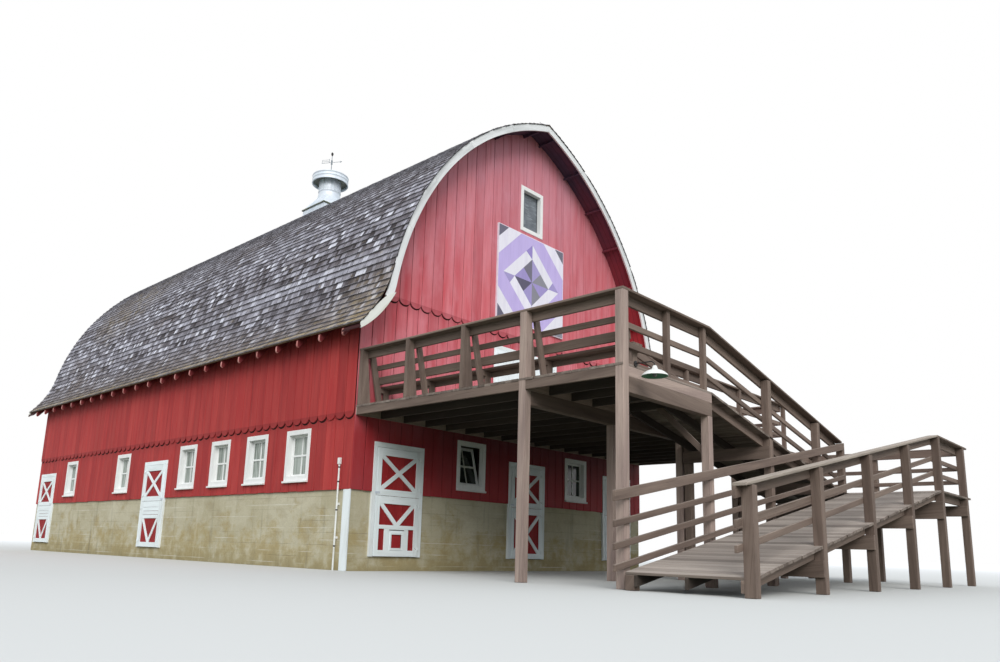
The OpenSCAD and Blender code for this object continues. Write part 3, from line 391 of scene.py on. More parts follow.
def soffit_boards(name):
    """dark boards under the overhang: dark red lower down, with painted shade that turns them navy near the
    ridge and near black at their foot
    """
    s = Shade(name, "a8343a", 0.75, specular=0.3)
    _, y, z = s.xyz(s.place())
    patches = s.noise((1.0, 3.0, 1.0), 4.0, 0.6, 0.0, 1.2)
    fine = s.noise((6.0, 60.0, 6.0), 3.0, 0.6)
    # painted shade: navy towards the ridge
    s.coat((z.span(Z0 + 6.2, Z0 + 10.2) + patches.span(0.3, 0.7, -0.12, 0.12)).clamped(), "4a3a4e")
    line = abs(((y + 20.0) / 0.14).fract() - 0.5).span(0.44, 0.49)
    s.coat(line * 0.75, "2b1218")
    # painted shade: near black at the foot of the overhang
    s.coat(z.span(Z0 + 5.15, Z0 + 4.95), "32090e")
    s.dim(fine.span(0.3, 0.7, 0.88, 1.1))
    return s.done(0.75, fine - line, 0.4, 0.006)


side_red = red_paint("red_side", "a82f30", "ba4440", "701a1e", 0.50, -0.05, 2.76, None, True)
gable_red = red_paint("red_gable", "c65059", "d98189", "8c2c36", 0.50, 0.06, 5.28, "c98f9e")
door_red = red_paint("red_door", "921d21", "9e2b2d", "64151a", 0.25, -0.1, 9.0)
# near-black red behind the boards, seen in their gaps, and for the strips under the upper boards' ends:
# painted shade
groove_shade_red = bare_timber("groove_shade_red", "240a0c", "150506")
tail_red = red_paint("red_tails", "c07370", "dca9a3", "7a2c2c", 0.3, 0.05, 9.0)
# a darker copy of the tails' red for their sides: painted shade under the eave
tail_shade_red = red_paint("red_tail_shaded_sides", "6a2226", "83383a", "3c1014", 0.4, 0.0, 9.0)
white = white_paint("white_boards", "f0f8fb")
door_white = white_paint("white_doors", "f0f9fc", "b9c1be", 0.40)
trim_white = white_paint("white_trim", "eeefee", "c9cac6", 0.35)
rake_white = white_paint("white_rake", "e3e5e6", "9a9d9e", 0.85)
flare_white = white_paint("white_flare", "e2e4dc", "b8b48a", 0.8)
shade_white = white_paint("white_shaded", "cfd2c6", "98998a", 0.6)
brown = stained_wood("brown_stain", "6b5c54", "8b7a6f", "41352f", "9c9086")
post_brown = stained_wood("post_brown", "92807a", "b9a59a", "5f5049", "b4a89d")
brown_planks = stained_wood("brown_planks", "6e6159", "9a8e85", "392f2a", "c0b5ab", 0.55)
pale_cap = stained_wood("pale_cap", "8b8077", "bdb1a4", "544941", "b3a89c")
found = concrete("cast_concrete")
shingle_mat = shingle_wood("shingle_wood")
zinc = galvanised("dull_zinc", "eaf1f9", "cdd7e2", "a9b5c2")
zinc_under = galvanised("shaded_zinc", "6a6f60", "555a4c", "454a3f")
lamp_green = enamel("lamp_green", "3f7a5c", "5d8a70")
black_iron = iron("dark_iron")
grey_iron = iron("grey_iron", "7c8790", "6b6258", 0.3)
# a darker copy of the brown stain for the joists inside the deck and ramps: painted shade under them
joist_shade_brown = stained_wood("joist_shade_brown", "3f3833", "544b45", "241f1c", "5a514a", 0.5)
gloss_white = enamel("white_enamel")
glass_mat = panes("old_panes")
screen_mat = wire_screen("wire_screen")
timber = bare_timber("bare_timber")
soffit_mat = soffit_boards("soffit_boards")


# meshes
class Mesh:
    """Faces with a tint each and a grain place at each corner."""

    def __init__(self, name):
        self.name = name
        self.verts, self.faces, self.tints, self.grains, self.mats = [], [], [], [], []

    def face(self, pts, tint, grains, mat=0):
        k = len(self.verts)
        self.verts += [tuple(p) for p in pts]
        self.faces.append(tuple(range(k, k + len(pts))))
        self.tints.append(tint)
        self.grains += [tuple(g) for g in grains]
        self.mats.append(mat)

    def solid(self, pts, faces, tint, axis, mat=0):
        """one closed solid: its own points and faces, the grain along axis"""
        a = Vector(axis).normalized()
        b = a.cross(Vector((0.31, 0.27, 0.91))).normalized()
        c = a.cross(b)
        off = Vector((rnd.uniform(0, 90), rnd.uniform(0, 90), rnd.uniform(0, 90)))
        k = len(self.verts)
        for p in pts:
            p = Vector(p)
            self.verts.append(tuple(p))
            self.grains.append((p.dot(a) + off.x, p.dot(b) + off.y, p.dot(c) + off.z))
        self.faces += [tuple(k + i for i in f) for f in faces]
        self.tints += [tint] * len(faces)
        self.mats += [mat] * len(faces)

    def plank(self, a, b, wide, thick, edge=0.004, tint=None, mat=0):
        """a board from a to b: wide and thick are vectors across it; its long edges are eased"""
        a, b, wide, thick = Vector(a), Vector(b), Vector(wide), Vector(thick)
        w, t = wide.length / 2, thick.length / 2
        u, v = wide.normalized(), thick.normalized()
        e = min(edge, w * 0.4, t * 0.4)
        outline = [(-w, -t + e), (-w, t - e), (-w + e, t), (w - e, t),
                   (w, t - e), (w, -t + e), (w - e, -t), (-w + e, -t)]
        pts = [q + u * i + v * j for q in (a, b) for i, j in outline]
        faces = sleeve(2, 8) + [tuple(range(7, -1, -1)), tuple(range(8, 16))]
        self.solid(pts, faces, rnd.random() if tint is None else tint, b - a, mat)

    def prism(self, poly, out, d0, d1, tint=None, axis=None, mat=0):
        """a flat shape poly (points in 3-D) carried along the unit vector out from d0 to d1"""
        out = Vector(out)
        n = len(poly)
        pts = [Vector(p) + out * d for d in (d0, d1) for p in poly]
        faces = [tuple(range(n - 1, -1, -1)), tuple(range(n, 2 * n))] + sleeve(2, n)
        area = Vector((0, 0, 0))
        for i in range(n):
            area += Vector(poly[i]).cross(Vector(poly[(i + 1) % n]))
        if area.dot(out) < 0:
            faces = [tuple(reversed(f)) for f in faces]
        self.solid(pts, faces, rnd.random() if tint is None else tint, axis or poly[1] - poly[0], mat)

    def make(self, mats, slot, replaces=(), bevel=0.0, body="barn"):
        me = bpy.data.meshes.new(self.name)
        me.from_pydata(self.verts, [], self.faces)
        me.attributes.new("tint", "FLOAT", "FACE").data.foreach_set("value", self.tints)
        grain = me.attributes.new("grain", "FLOAT_VECTOR", "POINT")
        grain.data.foreach_set("vector", [c for v in self.grains for c in v])
        me.polygons.foreach_set("material_index", self.mats)
        for m in mats if isinstance(mats, list) else [mats]:
            me.materials.append(m)
        me.validate()
        me.update()
        o = placed(self.name, me)
        if bevel:
            b = o.modifiers.new("eased", "BEVEL")
            b.width = bevel
            b.segments = 1
            b.limit_method = "ANGLE"
            b.angle_limit = math.radians(35)
        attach(o, body)
        if replaces:
            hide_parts(*replaces)
        return me


def sleeve(rows, n):
    """the faces between rows of n points each"""
    return [(j * n + k, j * n + (k + 1) % n, (j + 1) * n + (k + 1) % n, (j + 1) * n + k)
            for j in range(rows - 1) for k in range(n)]


def islands(me):
    """the solids of a CAD mesh: lists of welded points and of faces"""
    key, weld, pts = {}, [], []
    for c in np.array([v.co for v in me.vertices]):
        k = tuple(np.round(c * 20000).astype(int))
        if k not in key:
            key[k] = len(pts)
            pts.append(Vector(c))
        weld.append(key[k])
    parent = list(range(len(pts)))

    def root(i):
        while parent[i] != i:
            parent[i] = parent[parent[i]]
            i = parent[i]
        return i

    faces = [tuple(weld[i] for i in p.vertices) for p in me.polygons]
    faces = [f for f in faces if len(set(f)) == len(f)]
    for f in faces:
        for i in f[1:]:
            parent[root(i)] = root(f[0])
    groups = {}
    for f in faces:
        groups.setdefault(root(f[0]), []).append(f)
    out = []
    for fs in groups.values():
        ids = sorted({i for f in fs for i in f})
        at = {i: k for k, i in enumerate(ids)}
        out.append(([pts[i] for i in ids], [tuple(at[i] for i in f) for f in fs]))
    return out


def merged(pts, faces):
    """the same solid with its flat faces in one piece each, and its longest edge"""
    bm = bmesh.new()
    vs = [bm.verts.new(p) for p in pts]
    for f in faces:
        if bm.faces.get([vs[i] for i in f]) is None:
            bm.faces.new([vs[i] for i in f])
    bmesh.ops.dissolve_limit(bm, angle_limit=0.02, verts=bm.verts, edges=bm.edges)
    bm.verts.index_update()
    pts = [v.co.copy() for v in bm.verts]
    faces = [tuple(v.index for v in f.verts) for f in bm.faces]
    edges = [(e.verts[0].co - e.verts[1].co) for e in bm.edges]
    bm.free()
    return pts, faces, max(edges, key=lambda e: e.length)


def ring(c, a, b, r, n):
    """n points of a circle about c, in the plane of a and b"""
    turns = [2 * math.pi * k / n for k in range(n)]
    return [c + (a * math.cos(t) + b * math.sin(t)) * r for t in turns]


def lumber(node, mats, slot, bevel=0.005, pick=None):
    """the CAD node again as eased boards whose grain runs along each of them"""
    m = Mesh(node + "_boards")
    for pts, faces in islands(NODES[node].data):
        pts, faces, long = merged(pts, faces)
        m.solid(pts, faces, rnd.random(), long, pick(pts) if pick else 0)
    m.make(mats, slot, (node,), bevel)


def lathe(m, centre, rings, n, mat=0):
    """a turned shape: rings is a list of (radius, height), a radius may depend on the angle"""
    pts = []
    for r, z in rings:
        for k in range(n):
            a = 2 * math.pi * k / n
            f = r(a) if callable(r) else r
            pts.append(centre + Vector((f * math.cos(a), f * math.sin(a), z)))
    m.solid(pts, sleeve(len(rings), n), 0.3, (0, 0, 1), mat)


# roof line
ARCH_R, FOOT_IN, FOOT_Z, EAVE_OUT, EAVE_Z = 7.05, 0.145, 5.01, 0.46, 4.36
RIDGE_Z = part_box("roof_left")[1].z - Z0
FOOT_X, EAVE_X = HW - FOOT_IN, HW + EAVE_OUT
RISE = RIDGE_Z - FOOT_Z
CHORD = math.hypot(FOOT_X, RISE)
BACK = math.sqrt(ARCH_R ** 2 - CHORD ** 2 / 4)
ARC_C = (FOOT_X / 2 - BACK / CHORD * RISE, FOOT_Z + RISE / 2 - BACK / CHORD * FOOT_X)
FLARE = (EAVE_Z - FOOT_Z) / (EAVE_X - FOOT_X)
RAKE = 0.612  # the roof's overhang at each gable
EXPOSE = 0.165  # what shows of a course
COVER_OUT, DECK_IN = 0.022, 0.042  # shingles beyond the rake, and the boards under them short of it
FIRST_OUT, UNDERLAP = 0.022, 0.03  # the first course past the eave, and each course under the next
SHINGLE_WIDTHS = (0.08, 0.09, 0.10, 0.12, 0.14, 0.18)
RIDGE_SLOPE = 0.862, 0.507  # across and down, for one step along the roof at its top


def arch_top(r, t=0.0):
    """height of the roof at distance r from the middle, at depth t inside it"""
    flare = FOOT_Z + (r - FOOT_X) * FLARE - t * math.hypot(1, FLARE)
    inside = (ARCH_R - t) ** 2 - (r - ARC_C[0]) ** 2
    arch = ARC_C[1] + math.sqrt(inside) if inside > 0 else -9.0
    return max(arch, flare) if r > FOOT_X - 0.3 else arch


def bow(a, c, b, ts):
    """points on a curve from a to b that is drawn towards c"""
    a, b, c = Vector(a), Vector(b), Vector(c)
    return [a * (1 - t) ** 2 + c * 2 * t * (1 - t) + b * t * t for t in ts]


class Line:
    """points up the roof from the eave to the ridge, the hollow at the arch's foot eased"""

    def __init__(self, ease):
        a0 = math.atan2(FOOT_Z - ARC_C[1], FOOT_X - ARC_C[0])
        a1 = math.atan2(RIDGE_Z - ARC_C[1], -ARC_C[0])
        e, f = Vector((EAVE_X - 0.024, EAVE_Z + 0.026)), Vector((FOOT_X, FOOT_Z))
        start = f + (e - f).normalized() * ease
        a_in = a0 + ease / ARCH_R

        def arc(a):
            return Vector((ARC_C[0] + ARCH_R * math.cos(a), ARC_C[1] + ARCH_R * math.sin(a)))

        pts = [e + (start - e) * (k / 6) for k in range(6)]
        pts += bow(start, f, arc(a_in), [k / 20 for k in range(20)])
        pts += [arc(a_in + (a1 - a_in) * k / 90) for k in range(91)]
        self.pts, self.run = pts, [0.0]
        for a, b in zip(pts, pts[1:]):
            self.run.append(self.run[-1] + (b - a).length)
        self.long = self.run[-1]

    def on(self, s):
        """(place, outward normal) at distance s up the roof"""
        s = min(max(s, 0.0), self.long)
        i = min(bisect.bisect_right(self.run, s), len(self.run) - 1) - 1
        f = (s - self.run[i]) / (self.run[i + 1] - self.run[i])
        step = self.pts[i + 1] - self.pts[i]
        d = step.normalized()
        return self.pts[i] + step * f, Vector((d.y, -d.x))

    def at_height(self, z):
        i = next(i for i in range(len(self.pts) - 1) if self.pts[i].y <= z <= self.pts[i + 1].y)
        a, b = self.pts[i].y, self.pts[i + 1].y
        return self.run[i] + (self.run[i + 1] - self.run[i]) * (z - a) / (b - a)

    def pt(self, side, s, y, lift=0.0):
        p, n = self.on(s)
        q = p + n * lift
        return P(HW - q.x if side == "left" else HW + q.x, y, q.y)


ROOF, BOARDS = Line(0.85), Line(0.36)
LONG = ROOF.long
roof_pt = ROOF.pt


def shingles(side):
    m = Mesh("shingles_" + side)
    # the boards that the shingles are nailed to
    lo, hi = -RAKE + DECK_IN, L + RAKE - DECK_IN
    upper, bottom = -0.006, -0.040  # their two faces, below the shingles

    def deck(corners):
        q = [roof_pt(side, *c) for c in corners]
        m.face(q, 0.1, [(p.y, p.x, p.z) for p in q], 1)

    steps = [LONG * k / 80 for k in range(81)]
    for a, b in zip(steps, steps[1:]):
        for lift, flip in ((upper, False), (bottom, True)):
            q = [(a, lo, lift), (a, hi, lift), (b, hi, lift), (b, lo, lift)]
            deck(q[::-1] if flip != (side == "left") else q)
    deck([(0, lo, bottom), (0, hi, bottom), (0, hi, upper), (0, lo, upper)])
    y0, y1 = -RAKE - COVER_OUT, L + RAKE + COVER_OUT
    count = int(LONG / EXPOSE)
    step = LONG / count
    for c in range(count + 1):
        s0 = c * step - (FIRST_OUT if c == 0 else 0.0)
        top = min(c * step + step + UNDERLAP, LONG)
        if c == count:
            s0, top = LONG - step * 0.55, LONG
        wander = rnd.uniform(-0.003, 0.003)
        y = y0 - rnd.uniform(0, 0.1)
        course = rnd.uniform(-0.06, 0.06)
        while y < y1:
            w = rnd.choice(SHINGLE_WIDTHS) * rnd.uniform(0.9, 1.1)
            a, b = max(y, y0), min(y + w - 0.004, y1)
            y += w
            if b - a < 0.02:
                continue
            thick = rnd.uniform(0.015, 0.024)
            low = s0 + rnd.uniform(-0.007, 0.005) + wander
            curl_a, curl_b = rnd.uniform(0, 0.005), rnd.uniform(0, 0.005)
            lows = [roof_pt(side, low, a, thick + curl_a),
                    roof_pt(side, low + rnd.uniform(-0.003, 0.003), b, thick + curl_b)]
            highs = [roof_pt(side, top, b, 0.0), roof_pt(side, top, a, 0.0)]
            unders = [roof_pt(side, low, a, -0.004), roof_pt(side, low, b, -0.004)]
            t = min(max(rnd.gauss(0.48, 0.27) + course, 0.0), 1.0)
            off = Vector((rnd.uniform(0, 50), rnd.uniform(0, 50), 0))
            # up is 0 at a shingle's lower end, 1 at its top, and below 0 on the end itself
            for q, up in ((lows + highs, [0, 0, 1, 1]), (unders + lows[::-1], [-1] * 4),
                          ([unders[0], lows[0], highs[1]], [0.8] * 3),
                          ([lows[1], unders[1], highs[0]], [0.8] * 3)):
                if side == "left":
                    q, up = q[::-1], up[::-1]
                m.face(q, t, [(p.z + off.x, p.y + off.y, v) for p, v in zip(q, up)])
    m.make([shingle_mat, timber], "shingles", ("roof_" + side,))


def ridge_boards():
    m = Mesh("ridge_boards")
    run, fall = RIDGE_SLOPE
    wide, thick = 0.135, 0.018
    y = -RAKE - COVER_OUT
    while y < L + RAKE + 0.02:
        ln = min(rnd.uniform(2.2, 3.2), L + RAKE + COVER_OUT - y)
        for side in (-1, 1):
            d = Vector((side * run, 0, -fall))
            up = Vector((side * fall, 0, run))
            mid = P(HW, 0, RIDGE_Z) + d * 0.062 + up * 0.020
            m.plank(mid + Vector((0, y, 0)), mid + Vector((0, y + ln - 0.004, 0)), d * wide, up * thick)
        y += ln
    m.make(brown, "shingles")


# walls
# one side of the barn: the place of (along it, up, out of it), and the way out
FRONT = (lambda u, z, d: P(u, -d, z)), (0, -1, 0)
REAR = (lambda u, z, d: P(W - u, L + d, z)), (0, 1, 0)
LEFT = (lambda u, z, d: P(-d, L - u, z)), (-1, 0, 0)
RIGHT = (lambda u, z, d: P(W + d, u, z)), (1, 0, 0)

DOOR_W, DOOR_H, JAMB = 1.14, 2.13, 0.095
GABLE_DOORS = [1.17, HW + 0.105, W - 1.17]
GABLE_WINS = [(GABLE_DOORS[0] + GABLE_DOORS[1]) / 2 + 0.08, (GABLE_DOORS[1] + GABLE_DOORS[2]) / 2 + 0.03]
SIDE_DOORS = [8.39, L - 0.02 - 0.2 - 0.025 - (DOOR_W + 2 * JAMB) / 2]
SIDE_WINS = [1.84 + i * 1.605 for i in range(4)] + [SIDE_DOORS[0] + 2.08, SIDE_DOORS[1] - 2.01]
WIN_Z, WIN_H, GABLE_WIN_W, SIDE_WIN_W = 1.55, 0.90, 0.75, 0.71
TOP_X, TOP_Z, TOP_W, TOP_H = HW + 0.065, 8.15, 0.71, 1.05
LOFT_Z, FOUND_H, GABLE_LAP, SIDE_LAP = 2.87, 1.27, 5.28, 2.76
DECK_DOOR_W, DECK_DOOR_H = 2.18, 1.97
EASE = 0.005  # bevel of a siding board's edges
GABLE_BOARD, SIDE_BOARD = 0.304, 0.297  # spacing of the siding's boards
LOW_FACE, LAP_BACK, LAP_FACE = 0.014, 0.016, 0.038  # how far the lower and the upper boards stand out
SHADOW_FACE = 0.0155  # the dark line behind the upper boards' ends


def split(u0, u1, holes):
    """the parts of a board between u0 and u1, each with its height ranges taken out"""
    cuts = sorted({u0, u1} | {u for h in holes for u in h[:2] if u0 < u < u1})
    for a, b in zip(cuts, cuts[1:]):
        yield a, b, [h[2:] for h in holes if h[0] < (a + b) / 2 < h[1]]


def siding(name, side, length, pitch, gap, holes, low, high, d0, d1, mat, rounded=0.0, spare=0.0):
    """upright boards on a wall, from the height low to the height high(u)"""
    at = side[0]
    m = Mesh(name)
    count = round((length + 2 * spare) / pitch)
    step = (length + 2 * spare) / count
    for k in range(count):
        u0, u1 = -spare + k * step + gap / 2, -spare + (k + 1) * step - gap / 2
        tint = rnd.random()
        off = Vector((rnd.uniform(0, 90), rnd.uniform(0, 90), 0))
        proud, drop = rnd.uniform(0, 0.003), rnd.uniform(-0.006, 0.006)

        def foot(u):
            f = (u - u0) / (u1 - u0) * 2 - 1
            return low + drop - rounded * math.sqrt(max(0.0, 1 - f * f))

        def grain(c, end):
            return (c[end] + off.x, c[0] + off.y, 0)

        def edge(c, end, depth=None):
            """a column's foot (end 1) or top (end 2), at its face or at a depth"""
            return at(c[0], c[end], c[3] if depth is None else depth)

        for a, b, out in split(u0, u1, holes):
            bent = rounded or high(a) != high(b)
            us = [a + (b - a) * i / 8 for i in range(1, 8)] if bent else [(a + b) / 2]
            us = [u for u in us if a + 2 * EASE < u < b - 2 * EASE]
            us = [a] + [a + EASE] * (a == u0) + us + [b - EASE] * (b == u1) + [b]
            edges = [low] + [z for pair in sorted(out) for z in pair] + [None]
            for z0, z1 in zip(edges[::2], edges[1::2]):
                cols = []
                for u in us:
                    base = foot(u) if z0 == low else z0
                    top = high(u) if z1 is None else min(z1, high(u))
                    d = d1 + proud - (EASE if u in (u0, u1) else 0.0)
                    cols.append((u, base, top, d) if top - base >= 0.01 else None)
                for p, q in zip(cols, cols[1:]):
                    if p is None or q is None:
                        continue
                    g = [grain(p, 1), grain(q, 1), grain(q, 2), grain(p, 2)]
                    m.face([edge(p, 1), edge(q, 1), edge(q, 2), edge(p, 2)], tint, g)
                    m.face([edge(p, 1, d0), edge(q, 1, d0), edge(q, 1), edge(p, 1)], tint,
                           [g[0], g[1], g[1], g[0]])
                for c, way in ((cols[0], 1), (cols[-1], -1)):
                    if c and c[0] in (u0, u1):
                        e = [edge(c, 1, d0), edge(c, 1), edge(c, 2), edge(c, 2, d0)]
                        m.face(e[::way], tint, ([grain(c, 1)] * 2 + [grain(c, 2)] * 2)[::way])
    m.make(mat, "red_wood")


def hole(x, w, z, h, m=0.03):
    return (x - w / 2 - m, x + w / 2 + m, z - m, z + h + m)


def holes_of(doors, wins, win_w):
    tall = [hole(x, DOOR_W, -1.0, DOOR_H + 1.0) for x in doors]
    return tall + [hole(x, win_w, WIN_Z, WIN_H) for x in wins]


def turned(holes, length):
    return [(length - b, length - a, c, d) for a, b, c, d in holes]


def under(u):
    return arch_top(abs(u - HW), 0.075)


def walls():
    gable = holes_of(GABLE_DOORS, GABLE_WINS, GABLE_WIN_W)
    long_wall = holes_of(SIDE_DOORS, SIDE_WINS, SIDE_WIN_W)
    deck_door = hole(HW, DECK_DOOR_W, LOFT_Z, DECK_DOOR_H)
    top_hole = [hole(TOP_X, TOP_W, TOP_Z, TOP_H)]
    low_top = lambda u: min(under(u), GABLE_LAP + 0.05)
    for end, side, holes, top in (("front", FRONT, gable + [deck_door], top_hole),
                                  ("back", REAR, turned(gable, W), turned(top_hole, W))):
        siding(end + "_lower_siding", side, W, GABLE_BOARD, 0.013, holes, FOUND_H - 0.02, low_top,
               0.0, LOW_FACE, gable_red, spare=0.012)
        siding(end + "_upper_siding", side, W, GABLE_BOARD, 0.012, top, GABLE_LAP, under,
               LAP_BACK, LAP_FACE, gable_red, rounded=0.115)
        siding(end + "_tongue_shadow", side, W, GABLE_BOARD, 0.0, [], GABLE_LAP - 0.026, low_top,
               LOW_FACE, SHADOW_FACE, groove_shade_red, rounded=0.115)
    low_top = lambda u: SIDE_LAP + 0.05
    for end, side, holes in (("left", LEFT, turned(long_wall, L)), ("right", RIGHT, long_wall)):
        siding(end + "_lower_siding", side, L, SIDE_BOARD, 0.011, holes, FOUND_H - 0.02, low_top,
               0.0, LOW_FACE, side_red)
        siding(end + "_upper_siding", side, L, SIDE_BOARD, 0.011, [], SIDE_LAP, lambda u: FOOT_Z - 0.14,
               LAP_BACK, LAP_FACE, side_red, rounded=0.12)
        siding(end + "_tongue_shadow", side, L, SIDE_BOARD, 0.0, [], SIDE_LAP - 0.030, low_top,
               LOW_FACE, SHADOW_FACE, groove_shade_red, rounded=0.12)


# doors
LEAF_FACE, LEAF_T = 0.028, 0.050
STILE, BOTTOM_RAIL, TOP_RAIL, BRACE = 0.104, 0.12, 0.15, 0.085
LEAF_BOARD, LEAF_GAP, SPLIT_Z = 0.14, 0.008, 1.18  # board width, gap round a leaf, where leaves part


def clipped(poly, lo, hi):
    """a flat shape cut to the box lo..hi, all in (u, z)"""
    for axis, value, keep in ((0, lo[0], 1), (0, hi[0], -1), (1, lo[1], 1), (1, hi[1], -1)):
        out = []
        for i, p in enumerate(poly):
            q = poly[(i + 1) % len(poly)]
            inp, inq = (p[axis] - value) * keep >= 0, (q[axis] - value) * keep >= 0
            if inp:
                out.append(p)
            if inp != inq:
                f = (value - p[axis]) / (q[axis] - p[axis])
                out.append((p[0] + (q[0] - p[0]) * f, p[1] + (q[1] - p[1]) * f))
        poly = out
    return poly


class Panel:
    """Flat boards on one side of the barn: u runs along it, z up, and d out of it."""

    def __init__(self, name, side=None):
        self.m = Mesh(name)
        self.turn_to(side)

    def turn_to(self, side):
        if side:
            self.at, self.out = side
        return self

    def rect(self, u0, z0, u1, z1, d0, d1, mat=0):
        pts = [self.at(u0, z0, 0), self.at(u1, z0, 0), self.at(u1, z1, 0), self.at(u0, z1, 0)]
        along = pts[1] - pts[0] if u1 - u0 > z1 - z0 else pts[3] - pts[0]
        self.m.prism(pts, self.out, d0, d1, axis=along, mat=mat)

    def brace(self, a, b, d0, d1, lo, hi):
        """a flat board from a to b in (u, z), its ends cut to the box lo..hi"""
        d = Vector((b[0] - a[0], b[1] - a[1])).normalized()
        n = Vector((-d.y, d.x)) * BRACE / 2
        a, b = Vector(a) - d * 0.3, Vector(b) + d * 0.3
        poly = clipped([tuple(a - n), tuple(b - n), tuple(b + n), tuple(a + n)], lo, hi)
        pts = [self.at(u, z, 0.0) for u, z in poly]
        self.m.prism(pts, self.out, d0, d1, axis=self.at(b.x, b.y, 0) - self.at(a.x, a.y, 0))

    def pin(self, p, out, r, h, n=8, mat=2):
        out = Vector(out)
        a = out.orthogonal().normalized()
        b = out.cross(a)
        self.m.prism(ring(p, a, b, r, n), out, -0.002, h, tint=0.5, axis=out, mat=mat)

    def hinges(self, u, s, zs, d):
        """white strap hinges: u is the hinged edge and s the way to the leaf's middle"""
        a, b = sorted((u - s * 0.004, u + s * 0.09))
        for z in zs:
            self.rect(a, z, b, z + 0.045, d, d + 0.006)
            self.pin(self.at(u - s * 0.004, z, 0.043), (0, 0, 1), 0.013, 0.045, 12, 0)
            for k in (0.25, 0.75):
                p = self.at(u + s * (0.03 + 0.05 * k), z + 0.045 * k, 0) + Vector(self.out) * (d + 0.006)
                self.pin(p, self.out, 0.006, 0.004)

    def leaf(self, u0, u1, z0, z1, kind):
        """one door leaf: red boards behind white rails, stiles and braces"""
        back = LEAF_FACE - LEAF_T
        self.rect(u0, z0, u1, z1, back, back + 0.020, 1)
        n = round((u1 - u0) / LEAF_BOARD)
        for k in range(n):
            a, b = u0 + (u1 - u0) * k / n, u0 + (u1 - u0) * (k + 1) / n
            self.rect(a + 0.0025, z0 + 0.002, b - 0.0025, z1 - 0.002, back + 0.018, LEAF_FACE - 0.012, 1)
        t0, t1 = LEAF_FACE - 0.014, LEAF_FACE + 0.010
        lo, hi = (u0 + STILE, z0 + BOTTOM_RAIL), (u1 - STILE, z1 - TOP_RAIL)
        self.rect(u0, z0, lo[0], z1, t0, t1)
        self.rect(hi[0], z0, u1, z1, t0, t1)
        self.rect(lo[0], hi[1], hi[0], z1, t0, t1)
        self.rect(lo[0], z0, hi[0], lo[1], t0, t1)
        cx = (u0 + u1) / 2
        if kind == "X":
            self.brace(lo, hi, t0, t1 - 0.003, lo, hi)
            self.brace((lo[0], hi[1]), (hi[0], lo[1]), t0, t1 - 0.005, lo, hi)
        elif kind == "flap":
            # braces over a small door for animals: its flap, its frame and a dark slot over it
            m0, m1 = z0 + 0.53, z0 + 0.605
            self.rect(lo[0], m0, hi[0], m1, t0, t1)
            corner = (lo[0], m1)
            self.brace((cx - 0.01, m1), (lo[0] + 0.03, hi[1]), t0, t1 - 0.003, corner, hi)
            self.brace((cx + 0.01, m1), (hi[0] - 0.03, hi[1]), t0, t1 - 0.005, corner, hi)
            foot = lo[1]
            for s in (-1, 1):
                wide, thin = sorted((s * 0.13, s * 0.31)), sorted((s * 0.13, s * 0.172))
                self.rect(cx + wide[0], foot, cx + wide[1], m0, t0, t1 - 0.002)
                self.rect(cx + thin[0], foot, cx + thin[1], foot + 0.345, t0, t1 + 0.008)
            self.rect(cx - 0.13, foot + 0.305, cx + 0.13, m0, t0, t1 - 0.002)
            self.rect(cx - 0.13, foot + 0.305, cx + 0.13, foot + 0.345, t0, t1 + 0.008)
            self.rect(cx - 0.13, foot, cx + 0.13, foot + 0.045, t0, t1 + 0.008)
            self.rect(cx - 0.124, foot + 0.050, cx + 0.124, foot + 0.300, t0 - 0.006, t0 + 0.010, 1)
            self.rect(cx - 0.19, m0 - 0.026, cx + 0.19, m0 - 0.012, t0, t1 + 0.004, 2)
        elif kind == "boards":
            third = z0 + (z1 - z0) * 0.62
            for k in range(3):
                a, b = third + (hi[1] - third) * k / 3, third + (hi[1] - third) * (k + 1) / 3
                self.rect(lo[0], a + 0.004, hi[0], b - 0.004, t0, t1 - 0.004)
            self.brace((cx, lo[1]), (lo[0] + 0.04, third), t0, t1 - 0.003, lo, (hi[0], third))
            self.brace((cx, lo[1]), (hi[0] - 0.04, third), t0, t1 - 0.005, lo, (hi[0], third))


